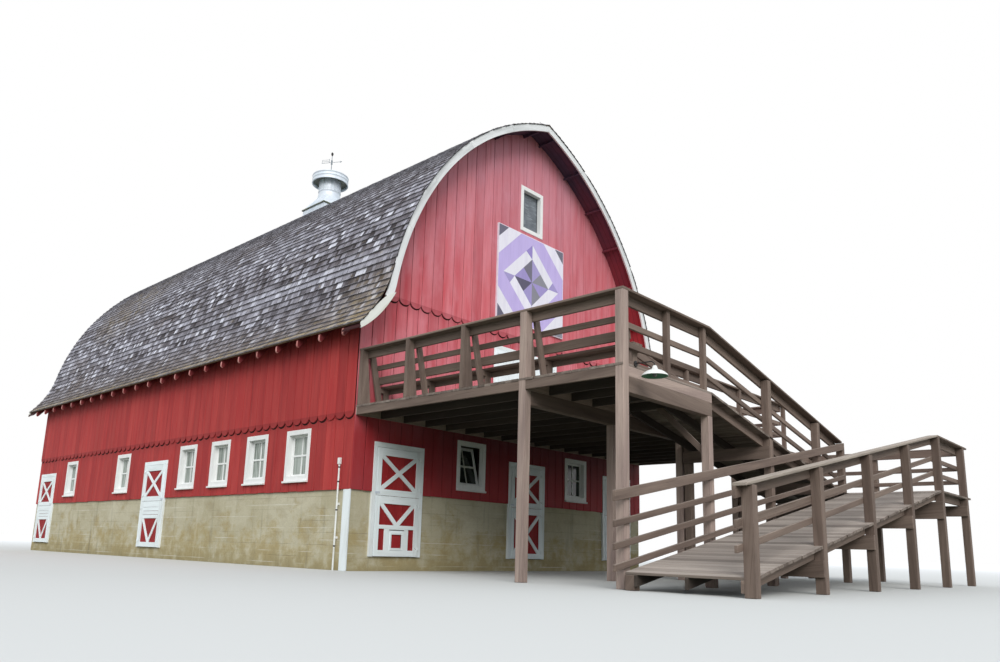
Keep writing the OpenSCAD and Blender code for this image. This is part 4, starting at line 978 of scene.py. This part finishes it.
def doors():
    gap = LEAF_GAP
    half = DOOR_W / 2 - gap
    ups, lows = (SPLIT_Z + gap / 2, DOOR_H - gap), (gap, SPLIT_Z - gap / 2)
    strap_d = 0.038
    shut_hinges = (0.143, 0.996, 1.319, 1.942)
    metals = [black_iron, zinc]
    for key, side, c, s, low_kind in (("front_left", FRONT, GABLE_DOORS[0], 1, "flap"),
                                      ("front_middle", FRONT, GABLE_DOORS[1], 1, "X"),
                                      ("side_near", LEFT, L - SIDE_DOORS[0], -1, "boards"),
                                      ("side_far", LEFT, L - SIDE_DOORS[1], -1, "boards")):
        for part, (z0, z1), kind in (("upper", ups, "X"), ("lower", lows, low_kind)):
            name = "%s_%s_leaf" % (key, part)
            p = Panel(name + "_boards", side)
            p.leaf(c - half, c + half, z0, z1, kind)
            p.hinges(c + half * s, -s, (z0 + 0.135, z1 - 0.18), strap_d)
            if part == "upper":
                catch = c - s * (half - 0.02)
                p.rect(catch - 0.06, z0 + 0.03, catch + 0.06, z0 + 0.07, strap_d, strap_d + 0.008, 3)
            p.m.make([door_white, door_red] + metals, "door_wood", (name,), 0.002, name)
    p = Panel("fixed_leaves")
    shut = [(FRONT, GABLE_DOORS[2])]
    shut += [(REAR, W - x) for x in GABLE_DOORS]
    shut += [(RIGHT, y) for y in SIDE_DOORS]
    for side, c in shut:
        p.turn_to(side)
        p.leaf(c - half, c + half, *ups, "X")
        p.leaf(c - half, c + half, *lows, "X")
        p.hinges(c + half, -1, shut_hinges, strap_d)
    p.m.make([door_white, door_red, black_iron], "door_wood", ("fixed_doors",), 0.002)
    # double door on the deck: a white panel above, braces below
    p = Panel("deck_leaves", FRONT)
    for s in (-1, 1):
        a, b = sorted((HW + s * gap / 2, HW + s * DECK_DOOR_W / 2))
        z0, z1 = LOFT_Z + gap, LOFT_Z + DECK_DOOR_H - gap
        mid = z0 + 1.05
        p.leaf(a, b, z0, mid - 0.003, "X")
        p.rect(a, mid, b, z1, -0.022, 0.026)
        board = (b - a) / 7
        for k in range(7):
            p.rect(a + board * k + 0.002, mid + 0.004, a + board * (k + 1) - 0.002, z1, 0.02, 0.034)
        p.rect(a, z1 - 0.11, b, z1, 0.02, 0.044)
        p.rect(a, mid, b, mid + 0.10, 0.02, 0.044)
        p.hinges(a if s < 0 else b, -s, (z0 + 0.2, z1 - 0.2), 0.044)
    p.m.make([door_white, door_red, black_iron], "door_wood", ("deck_doors",), 0.002)


# windows
def window_bars():
    sash_d, rim, bar, rail = 0.086, 0.06, 0.013, 0.020
    back = -sash_d - 0.034

    def cross(p, c, w):
        z = WIN_Z + WIN_H / 2
        p.rect(c - bar, WIN_Z + rim, c + bar, WIN_Z + WIN_H - rim, back, -sash_d - 0.002)
        p.rect(c - w / 2 + rim, z - rail, c + w / 2 - rim, z + rail, back, -sash_d + 0.001)

    p = Panel("window_bars")
    for side, cs, w in ((FRONT, [GABLE_WINS[1]], GABLE_WIN_W),
                        (REAR, [W - x for x in GABLE_WINS], GABLE_WIN_W),
                        (LEFT, [L - y for y in SIDE_WINS], SIDE_WIN_W),
                        (RIGHT, SIDE_WINS, SIDE_WIN_W)):
        for c in cs:
            cross(p.turn_to(side), c, w)
    p.m.make(trim_white, "white_wood", bevel=0.003)
    # the tilted sash turns about its inner bottom edge
    p = Panel("open_window_bars", FRONT)
    cross(p, GABLE_WINS[0], GABLE_WIN_W)
    pivot = P(0, sash_d + 0.04, WIN_Z)
    turn = Matrix.Rotation(math.radians(-14), 4, "X")
    p.m.verts = [tuple(pivot + turn @ (Vector(v) - pivot) + Vector((0, 0, 0.002))) for v in p.m.verts]
    p.m.make(shade_white, "white_wood", bevel=0.003)


# roof's edges
def rakes():
    """five curved boards on each side of each gable, and the flared board below them"""
    tenths = [k / 10 for k in range(11)]
    rake_t, upper, lower, slices = 0.038, -0.004, -0.165, 12
    for end, sgn in (("front", -1), ("back", 1)):
        m, flares = Mesh("rake_%s_boards" % end), Mesh("flare_%s_boards" % end)
        ya = -RAKE if end == "front" else L + RAKE
        yb = ya - sgn * rake_t
        for side in ("left", "right"):
            start = BOARDS.at_height(5.02)
            fifth = (BOARDS.long - start) / 5
            joints = [start + fifth * k + rnd.uniform(-0.1, 0.1) * (0 < k < 5) for k in range(6)]
            for s0, s1 in zip(joints, joints[1:]):
                s0, s1 = s0 + 0.002, s1 - 0.002
                jut, tint = rnd.uniform(0, 0.003), rnd.random()
                for k in range(slices):
                    a, b = s0 + (s1 - s0) * k / slices, s0 + (s1 - s0) * (k + 1) / slices
                    strip(m, side, a, b, upper, lower, ya + sgn * jut, yb, tint, k == 0, k == slices - 1)
            # the flared board below: bowed on both edges, its point under the arch board's end
            outline = bow((4.735, 5.135), (5.08, 4.52), (5.535, 4.225), tenths)
            outline += bow((5.545, 4.330), (5.27, 4.72), (4.90, 5.06), tenths)
            poly = [P(HW + (-q.x if side == "left" else q.x), ya, q.y) for q in outline]
            lean = 0.66 if side == "left" else -0.66
            flares.prism(poly, (0, -sgn, 0), -0.008, 0.030, axis=(lean, 0, 0.75))
        m.make(rake_white, "white_wood", ("rake_boards_" + end,))
        flares.make(flare_white, "white_wood", bevel=0.002)


def strip(m, side, a, b, top, deep, ya, yb, tint, first, last):
    """a slice of a board that follows the roof's end between two depths, from ya to yb"""
    corners = [(a, top), (b, top), (b, deep), (a, deep)]
    q, r = ([BOARDS.pt(side, s, y, lift) for s, lift in corners] for y in (ya, yb))
    g = [(s + tint * 77, (0.15 if lift == deep else 0.0) + tint * 33, 0.0) for s, lift in corners]
    way = 1 if (side == "left") != (ya > yb) else -1
    m.face(q[::way], tint, g[::way])
    m.face(r[::-way], tint, g[::-way])
    # the edges: below, above, and the ends of the whole board
    for i, j, there in ((3, 2, True), (1, 0, True), (0, 3, first), (2, 1, last)):
        if there:
            m.face([q[i], q[j], r[j], r[i]][::way], tint, [g[i], g[j], g[j], g[i]][::way])


def lookouts():
    """short blocks that carry the rake from the gable's face"""
    m = Mesh("lookouts")
    pitch, depth, wide, thick = 1.22, -0.125, 0.085, 0.045
    for y0, y1 in ((-RAKE + DECK_IN, -0.03), (L + 0.03, L + RAKE - DECK_IN)):
        for side in ("left", "right"):
            s = BOARDS.at_height(5.4)
            while s < BOARDS.long - 0.3:
                n = BOARDS.on(s)[1]
                nx = Vector((-n.x if side == "left" else n.x, 0, n.y))
                m.plank(BOARDS.pt(side, s, y0, depth), BOARDS.pt(side, s, y1, depth),
                        nx * wide, nx.cross(Vector((0, 1, 0))) * thick)
                s += pitch
    m.make(soffit_mat, "red_wood")


# deck and ramps
FRONT_Y, DECK_D, NOSE = -6.11, 4.3, 2.64
LAND_X, LAND_Z, LAND_END = 8.71, 1.64, 11.15
HIGH_IN, LOW_IN, LOW_OUT = -4.34, -6.21, -8.0
FOOT_OUT, RAMP_FOOT_Z = 0.15, -0.03
PLANK_T, PLANK_PITCH = 0.040, 0.146
BUTTS = [4.86, 8.5], [3.05, 7.3]  # where the deck's planks meet end to end, row by row in turn


def high_z(x):
    return LOFT_Z + (LAND_Z - LOFT_Z) * (x - NOSE) / (LAND_X - NOSE)


def low_z(x):
    return RAMP_FOOT_Z + (LAND_Z - RAMP_FOOT_Z) * (x + FOOT_OUT) / (LAND_X + FOOT_OUT)


def deck_planks():
    m = Mesh("deck_planks")
    for y0, y1, x0, x1 in ((-DECK_D, -0.016, 0.0, W), (FRONT_Y, -DECK_D, 0.0, NOSE)):
        n = round((y1 - y0) / PLANK_PITCH)
        w = (y1 - y0) / n
        for k in range(n):
            y = y0 + w * (k + 0.5)
            cuts = [x0] + (BUTTS[k % 2] if x1 - x0 > 4 else []) + [x1]
            for a, b in zip(cuts, cuts[1:]):
                z = LOFT_Z - PLANK_T / 2 - rnd.uniform(0, 0.002)
                over = rnd.uniform(0.002, 0.014) if a == x0 else 0.0
                ends = P(a + 0.002 - over, y, z), P(b - 0.002, y, z)
                m.plank(*ends, (0, w - 0.006, 0), (0, 0, PLANK_T - 0.002))
    m.make(brown_planks, "brown_wood", ("deck_boards",))


def ramp_planks():
    m = Mesh("ramp_planks")
    for x0, x1, zf, y0, y1, ragged in ((NOSE + 0.001, LAND_X - 0.001, high_z, FRONT_Y, HIGH_IN, False),
                                       (-FOOT_OUT, LAND_X - 0.001, low_z, LOW_OUT, LOW_IN, True),
                                       (LAND_X, LAND_END, lambda x: LAND_Z, LOW_OUT, HIGH_IN, False)):
        n = round((x1 - x0) / PLANK_PITCH)
        w = (x1 - x0) / n
        for k in range(n):
            xa, xb = x0 + w * k, x0 + w * (k + 1)
            p, q = P(xa, 0, zf(xa)), P(xb, 0, zf(xb))
            d = (q - p).normalized()
            up = Vector((-d.z, 0, d.x))
            mid = (p + q) / 2 - up * (PLANK_T / 2 + rnd.uniform(0, 0.002))
            e0, e1 = (rnd.uniform(-0.02, 0.012) for _ in range(2)) if ragged else (0.0, 0.0)
            m.plank(mid + Vector((0, y0 + abs(e0), 0)), mid + Vector((0, y1 - abs(e1) * 0.4, 0)),
                    d * (w - 0.006), up * (PLANK_T - 0.002))
    m.make(brown_planks, "brown_wood", ("ramp_boards",))


def middle(pts):
    """a piece's middle, in barn coordinates"""
    return sum(pts, Vector()) / len(pts) - P(0, 0, 0)


def low_cap(pts):
    c = middle(pts)
    return 1 if c.y < LOW_OUT + 0.2 and c.x < LAND_X else 0


def inner_joist(pts):
    """0 for the joists that close the deck's left and right ends, 1 for those between them"""
    return 1 if 0.12 < middle(pts).x < W - 0.12 else 0


def inner_ramp_joist(pts):
    c = middle(pts)
    return 0 if c.y < LOW_OUT + 0.25 or abs(c.y - FRONT_Y) < 0.25 or c.x > LAND_END - 0.25 else 1


def rail_post(pts):
    return 1 if min(p.z for p in pts) > Z0 + LOFT_Z - 0.1 else 0


# small pieces
def tube(m, pts, r, mat=0, n=10):
    """a round bar through a few points"""
    pts = [Vector(p) for p in pts]
    out = []
    for i, p in enumerate(pts):
        d = (pts[min(i + 1, len(pts) - 1)] - pts[max(i - 1, 0)]).normalized()
        a = d.cross(Vector((0.21, 0.13, 0.97)) if abs(d.z) < 0.9 else Vector((1, 0, 0))).normalized()
        b = d.cross(a)
        out += ring(p, a, b, r, n)
    faces = sleeve(len(pts), n) + [tuple(range(n - 1, -1, -1)), tuple(range(len(out) - n, len(out)))]
    m.solid(out, faces, 0.3, pts[-1] - pts[0], mat)


def arc_pts(c, r, a0, a1, n, u, v):
    """points on an arc about c in the plane of u and v"""
    turns = [a0 + (a1 - a0) * k / n for k in range(n + 1)]
    return [c + u * (r * math.cos(a)) + v * (r * math.sin(a)) for a in turns]


def rafter_tails():
    """tails with rounded lower ends, one under the eave at each CAD tail"""
    m = Mesh("rafter_tail_boards")

    def top(r):
        return FOOT_Z + (r - FOOT_X) * FLARE - 0.061 * math.hypot(1, FLARE)

    r0, r1, h = HW + 0.024, EAVE_X - 0.06, 0.14
    prof = [(r0, top(r0)), (r1, top(r1)), (r1 + 0.004, top(r1) - h * 0.55)]
    prof += [(r1 - 0.045 + 0.049 * math.cos(a), top(r1) - h + 0.055 - 0.055 * math.sin(a))
             for a in [math.pi / 10 * k for k in range(1, 6)]]
    prof += [(r0, top(r0) - h * 1.2)]
    places = set()
    for pts, _ in islands(NODES["rafter_tails"].data):
        ys = [p.y for p in pts]
        places.add(round((min(ys) + max(ys)) / 2, 3))
    for y in sorted(places):
        for side in (-1, 1):
            poly = [P(HW + side * r, 0, z) for r, z in prof]
            poly = [Vector((p.x, y, p.z)) for p in poly]
            m.prism(poly, (0, 1, 0), -0.027, 0.027, axis=(side * 0.7, 0, -0.7), mat=1)
            # the lower ends show the paler paint; the rest of each tail keeps a darker copy of the red, a
            # painted shade under the eave
            m.mats[-len(prof) + 1:-2] = [0] * (len(prof) - 3)
    m.make([tail_red, tail_shade_red], "bare_wood", ("rafter_tails",), 0.004)


def banner():
    """a painted board with a quilt block on it: diamond, pinwheel and corner triangles"""
    lo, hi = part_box("banner")
    m = Mesh("banner_board")
    face, edge = lo.y + 0.006, 0.018
    y, z = (face + hi.y) / 2, (lo.z + hi.z) / 2
    m.plank((lo.x, y, z), (hi.x, y, z), (0, 0, hi.z - lo.z), (0, hi.y - face, 0), 0.004, 0.2)

    def at(u, v):
        return Vector((lo.x + edge + (hi.x - lo.x - 2 * edge) * u / 8, face,
                       lo.z + edge + (hi.z - lo.z - 2 * edge) * v / 8))

    def patch(pts, up, mat):
        m.prism([at(u, v) for u, v in pts], (0, -1, 0), -0.001, up, tint=rnd.random(),
                axis=(0, 0, 1), mat=mat)

    white_p, lilac_p, dark_p, violet_p = range(4)
    patch([(0, 0), (8, 0), (8, 8), (0, 8)], 0.001, lilac_p)
    quarter = [([(0, 0), (2.6, 0), (0, 2.6)], 0.002, white_p),
               ([(0, 0), (1.1, 0), (0, 1.1)], 0.003, dark_p),
               ([(4, 0.6), (7.4, 4), (4, 4)], 0.002, white_p),
               ([(4, 4), (4, 1.9), (5.05, 2.95)], 0.003, dark_p),
               ([(4, 4), (5.05, 2.95), (6.1, 4)], 0.003, violet_p),
               ([(4, 0.6), (4.75, 1.35), (4, 1.9)], 0.003, violet_p)]
    for _ in range(4):
        for pts, up, mat in quarter:
            patch(pts, up, mat)
        quarter = [([(8 - v, u) for u, v in pts], up, mat) for pts, up, mat in quarter]
    paints = [white_paint("banner_" + name, light, dark, wear) for name, light, dark, wear in (
        ("white", "ebe8f4", "cfc8e0", 0.5), ("lilac", "bda9e6", "a894d6", 0.6),
        ("dark", "4b4560", "5c5672", 0.6), ("violet", "8f7cc6", "7c6ab4", 0.6))]
    m.make(paints, "banner_board", ("banner",))


# the ventilator: its base's top edge, the hood's lower edge, the rod's top, and the plan's middle
BASE_TOP = 11.25
HOOD_Z = BASE_TOP + 0.18 + 0.77
ROD_TOP = HOOD_Z + 0.28 + 0.2 + 0.7
VENT = P(HW, 8.9, 0)
NECK_R, SKIRT_H, BASE_HALF = 0.368, 0.56, 0.595


def skirt_radius(t):
    """the skirt's plan at t of its height: square at the base, round at the neck"""
    square = (0.5 + 0.5 * math.cos(math.pi * t)) ** 1.25

    def radius(a):
        edge = min(0.575 / max(abs(math.cos(a)), abs(math.sin(a))), 0.79)
        return NECK_R + (edge - NECK_R) * square

    return radius


def ventilator():
    m = Mesh("ventilator_turned")
    b, h, tip = BASE_TOP, HOOD_Z, ROD_TOP

    def turn(base, rings, mat=0, n=64):
        lathe(m, VENT, [(r, base + z) for r, z in rings], n, mat)

    lathe(m, VENT, [(skirt_radius(j / 14), b + SKIRT_H * (j / 14)) for j in range(15)], 64)
    lathe(m, VENT, [(NECK_R, b + 0.55), (0.367, b + 0.62), (0.376, b + 0.625), (0.378, b + 0.64),
                    (0.376, b + 0.655), (0.367, b + 0.66), (0.361, b + 0.80), (0.360, h + 0.10)], 64)
    turn(h, [(0.575, 0.09), (0.577, 0.006), (0.590, 0.0), (0.604, 0.003), (0.610, 0.014), (0.608, 0.026),
             (0.600, 0.034), (0.599, 0.135), (0.605, 0.140), (0.608, 0.150), (0.605, 0.160), (0.598, 0.165),
             (0.597, 0.245), (0.606, 0.250), (0.610, 0.262), (0.607, 0.275), (0.594, 0.282), (0.46, 0.325),
             (0.30, 0.380), (0.16, 0.430), (0.09, 0.455), (0.055, 0.475), (0.045, 0.50), (0.020, 0.515),
             (0.012, 0.53)])
    turn(h, [(0.355, 0.085), (0.580, 0.090)], 1)
    lathe(m, VENT, [(0.012, h + 0.50), (0.011, tip - 0.09)], 16, 3)
    turn(tip, [(0.014, -0.095), (0.030, -0.07), (0.040, -0.035), (0.038, -0.005), (0.026, 0.02),
               (0.010, 0.038), (0.003, 0.042)], 2, 20)
    # upright seams on the neck
    for k in range(6):
        a = math.pi / 3 * k + 0.4
        d = Vector((math.cos(a), math.sin(a), 0))
        across = Vector((-d.y, d.x, 0))
        m.plank(VENT + d * 0.366 + Vector((0, 0, b + 0.66)), VENT + d * 0.361 + Vector((0, 0, h + 0.08)),
                across * 0.022, d * 0.010, 0.002, 0.4)
    me = m.make([zinc, zinc_under, black_iron, grey_iron], "galvanised", ("ventilator_hood",))
    for p in me.polygons:
        p.use_smooth = abs(p.normal.z) < 0.9 and p.material_index != 1
    # flashing round the base's top edge, and lapped sheets on its sides
    m = Mesh("ventilator_flashing")
    w = BASE_HALF
    for d in (Vector((1, 0, 0)), Vector((-1, 0, 0)), Vector((0, 1, 0)), Vector((0, -1, 0))):
        across = Vector((-d.y, d.x, 0))
        c = VENT + d * (w + 0.016) + Vector((0, 0, b - 0.022))
        half = across * (w + 0.032)
        m.plank(c - half, c + half, Vector((0, 0, 0.046)), d * 0.034, 0.006, 0.3, 1)
        for k in (-0.2, 0.2):
            c = VENT + d * (w + 0.004) + across * k
            m.plank(c + Vector((0, 0, b - 0.06)), c + Vector((0, 0, b - 0.62)), across * 0.03,
                    d * 0.010, 0.002, 0.5)
    m.make([zinc, zinc_under], "galvanised")


def vane():
    """arrow with a tail of three bars, on its sleeve"""
    m = Mesh("vane_bars")
    lo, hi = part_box("weathervane")
    c = Vector((VENT.x, VENT.y, (lo.z + hi.z) / 2))
    a = math.radians(-60)  # where the arrow points
    u, up = Vector((math.cos(a), math.sin(a), 0)), Vector((0, 0, 1))
    lathe(m, c, [(0.019, -0.07), (0.031, -0.066), (0.031, -0.05), (0.024, -0.045),
                 (0.024, 0.045), (0.031, 0.05), (0.031, 0.066), (0.019, 0.07)], 20)
    for (x0, z0), (x1, z1), r in (((-0.37, 0), (-0.032, 0), 0.007), ((0.032, 0), (0.33, 0), 0.007),
                                  ((-0.36, 0.055), (-0.09, 0.055), 0.005),
                                  ((-0.35, 0.110), (-0.09, 0.110), 0.005),
                                  ((-0.09, 0), (-0.09, 0.150), 0.006), ((-0.36, 0), (-0.35, 0.115), 0.005)):
        tube(m, [c + u * x0 + up * z0, c + u * x1 + up * z1], r)
    head = [c + u * 0.30 + up * 0.035, c + u * 0.38, c + u * 0.30 - up * 0.035, c + u * 0.325]
    m.prism(head, u.cross(up), -0.003, 0.003, axis=u)
    m.make(grey_iron, "dark_iron", ("weathervane",), body="weathervane")


def lamp():
    """a domed shade on a gooseneck arm"""
    lo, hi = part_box("barn_lamp")
    c = Vector(((lo.x + hi.x) / 2, lo.y + 0.19, lo.z))
    m = Mesh("lamp_shade")
    lathe(m, c, [(0.186, 0.004), (0.190, 0.0), (0.190, 0.006), (0.176, 0.028), (0.150, 0.052),
                 (0.112, 0.076), (0.070, 0.092), (0.045, 0.100), (0.042, 0.120), (0.034, 0.128),
                 (0.030, 0.150), (0.014, 0.158)], 40)
    lathe(m, c, [(0.040, 0.070), (0.100, 0.062), (0.140, 0.044), (0.170, 0.020), (0.186, 0.004)], 40, 1)
    lathe(m, c, [(0.002, -0.012), (0.022, -0.006), (0.034, 0.012), (0.036, 0.034), (0.030, 0.060),
                 (0.028, 0.075)], 20, 2)
    x, y, up = Vector((1, 0, 0)), Vector((0, 1, 0)), Vector((0, 0, 1))
    wall = Vector((c.x, hi.y, c.z + 0.10))
    top = c + Vector((0, 0, 0.155))
    r = 0.07
    end = wall + up * (top.z + r - wall.z)
    bend = arc_pts(top + y * r, r, math.pi, math.pi / 2, 6, y, up)
    tube(m, [top] + bend + [wall - y * 0.05 + up * (top.z + r - wall.z), end], 0.009, 3)
    plate = arc_pts(end, 0.045, 0, 2 * math.pi * 19 / 20, 19, x, up)
    m.prism(plate, (0, -1, 0), 0.0, 0.014, axis=(1, 0, 0), mat=3)
    me = m.make([gloss_white, lamp_green, glass_mat, black_iron], "white_metal", ("barn_lamp",))
    for p in me.polygons:
        p.use_smooth = p.material_index < 3


def conduit_bands():
    """dark bands on the pipe by the corner"""
    lo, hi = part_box("conduit")
    m = Mesh("conduit_bands")
    c = Vector((lo.x + 0.0245, (lo.y + hi.y) / 2, 0))
    for z in (0.18, 0.86, 1.40, 1.68):
        lathe(m, c + Vector((0, 0, Z0 + z)), [(0.017, -0.014), (0.021, -0.012), (0.021, 0.012),
                                              (0.017, 0.014)], 20)
    m.make(black_iron, "dark_iron")


# build
shingles("left")
shingles("right")
ridge_boards()
walls()
doors()
window_bars()
rakes()
lookouts()
deck_planks()
ramp_planks()
# the joists inside the deck and ramps take the darker copy: painted shade
lumber("deck_joists", [brown, joist_shade_brown], "brown_wood", pick=inner_joist)
lumber("ramp_joists", [brown, joist_shade_brown], "brown_wood", pick=inner_ramp_joist)
for node in ("deck_beams", "rail_boards", "bench_supports", "bench_boards", "ramp_beams", "ramp_posts"):
    lumber(node, brown, "brown_wood")
lumber("deck_rims", post_brown, "brown_wood")
lumber("deck_posts", [post_brown, brown], "brown_wood", pick=rail_post)
lumber("rail_caps", [brown, pale_cap], "brown_wood", pick=low_cap)
for node, mat in (("door_jambs", white), ("door_heads", white), ("window_frames", trim_white),
                  ("window_sills", trim_white), ("window_sashes", trim_white), ("top_windows", trim_white),
                  ("corner_board", white)):
    lumber(node, mat, "white_wood", 0.004 if node == "window_sills" else 0.003)
rafter_tails()
banner()
ventilator()
vane()
lamp()
conduit_bands()

for mat, names in ((found, ("ground_floor", "foundation_gables", "foundation_sides")),
                   (groove_shade_red, ("front_wall", "back_wall", "left_wall", "right_wall", "walls_over_doors",
                                 "front_gable", "back_gable", "left_wall_top", "right_wall_top")),
                   (timber, ("loft_floor",)), (soffit_mat, ("soffit_front", "soffit_back")),
                   (zinc, ("ventilator_base",)), (black_iron, ("ridge_finials",)),
                   (gloss_white, ("conduit", "hinge_pins")), (glass_mat, ("window_glass",)),
                   (screen_mat, ("top_screens",))):
    for name in names:
        NODES[name].data.materials.clear()
        NODES[name].data.materials.append(mat)


# stage, light and camera
def seen(nodes):
    """1 for the rays that show what they meet, 0 for those that carry its light on"""
    kinds = ("Is Camera Ray", "Is Glossy Ray", "Is Transmission Ray")
    rays = [nodes.node("LightPath", kind) for kind in kinds]
    return rays[0].most(rays[1]).most(rays[2])


def stage():
    me = bpy.data.meshes.new("floor")
    r = 400.0
    me.from_pydata([(-r, -r, -0.002), (r, -r, -0.002), (r, r, -0.002), (-r, r, -0.002)], [], [(0, 1, 2, 3)])
    floor = placed("floor", me)
    s = Shade("floor_paper", (0.16, 0.18, 0.13, 1.0), 0.95, specular=0.05)
    far = s.node("VectorMath", "Value", ((0, s.place()),), operation="LENGTH")
    s.coat(seen(s), s.mix(far.span(14.0, 60.0), (0.62, 0.63, 0.61, 1.0), (0.90, 0.90, 0.90, 1.0)))
    me.materials.append(s.done())

    world = bpy.data.worlds.new("sky")
    bpy.context.scene.world = world
    world.use_nodes = True
    sky = Nodes(world.node_tree)
    up = sky.xyz(sky.node("TexCoord", "Generated"))[2].span(-0.05, 0.9)
    light = sky.mix(up, (1.06, 1.10, 1.14, 1), (0.72, 0.77, 0.84, 1))
    background = world.node_tree.nodes["Background"].inputs
    sky.into(background["Color"], sky.mix(seen(sky), light, (1, 1, 1, 1)))
    background["Strength"].default_value = 1.0

    sun = bpy.data.lights.new("soft_sun", "SUN")
    sun.energy = 2.1
    sun.angle = math.radians(35)
    sun.color = (1.0, 0.98, 0.95)
    placed("soft_sun", sun).rotation_euler = (math.radians(58), 0.0, math.radians(-40))


def camera():
    """the photograph's camera, found from the barn's own straight edges"""
    yaw, pitch, roll = 0.8170, 0.2013, 0.0300
    fwd = Vector((math.sin(yaw) * math.cos(pitch), math.cos(yaw) * math.cos(pitch), math.sin(pitch)))
    level = Vector((math.cos(yaw), -math.sin(yaw), 0.0))
    upright = level.cross(fwd)
    across = level * math.cos(roll) + upright * math.sin(roll)
    up = upright * math.cos(roll) - level * math.sin(roll)
    cam = bpy.data.cameras.new("camera")
    cam.lens, cam.sensor_width = 28.109, 36.0
    cam.shift_x, cam.shift_y = 0.01375, 0.05868
    cam.clip_start, cam.clip_end = 0.1, 900.0
    m = Matrix((across, up, -fwd)).transposed().to_4x4()
    m.translation = P(-9.160, -12.060, 0.207)
    o = placed("camera", cam)
    o.matrix_world = m
    bpy.context.scene.camera = o
    bpy.context.scene.view_settings.view_transform = "Standard"


stage()
camera()
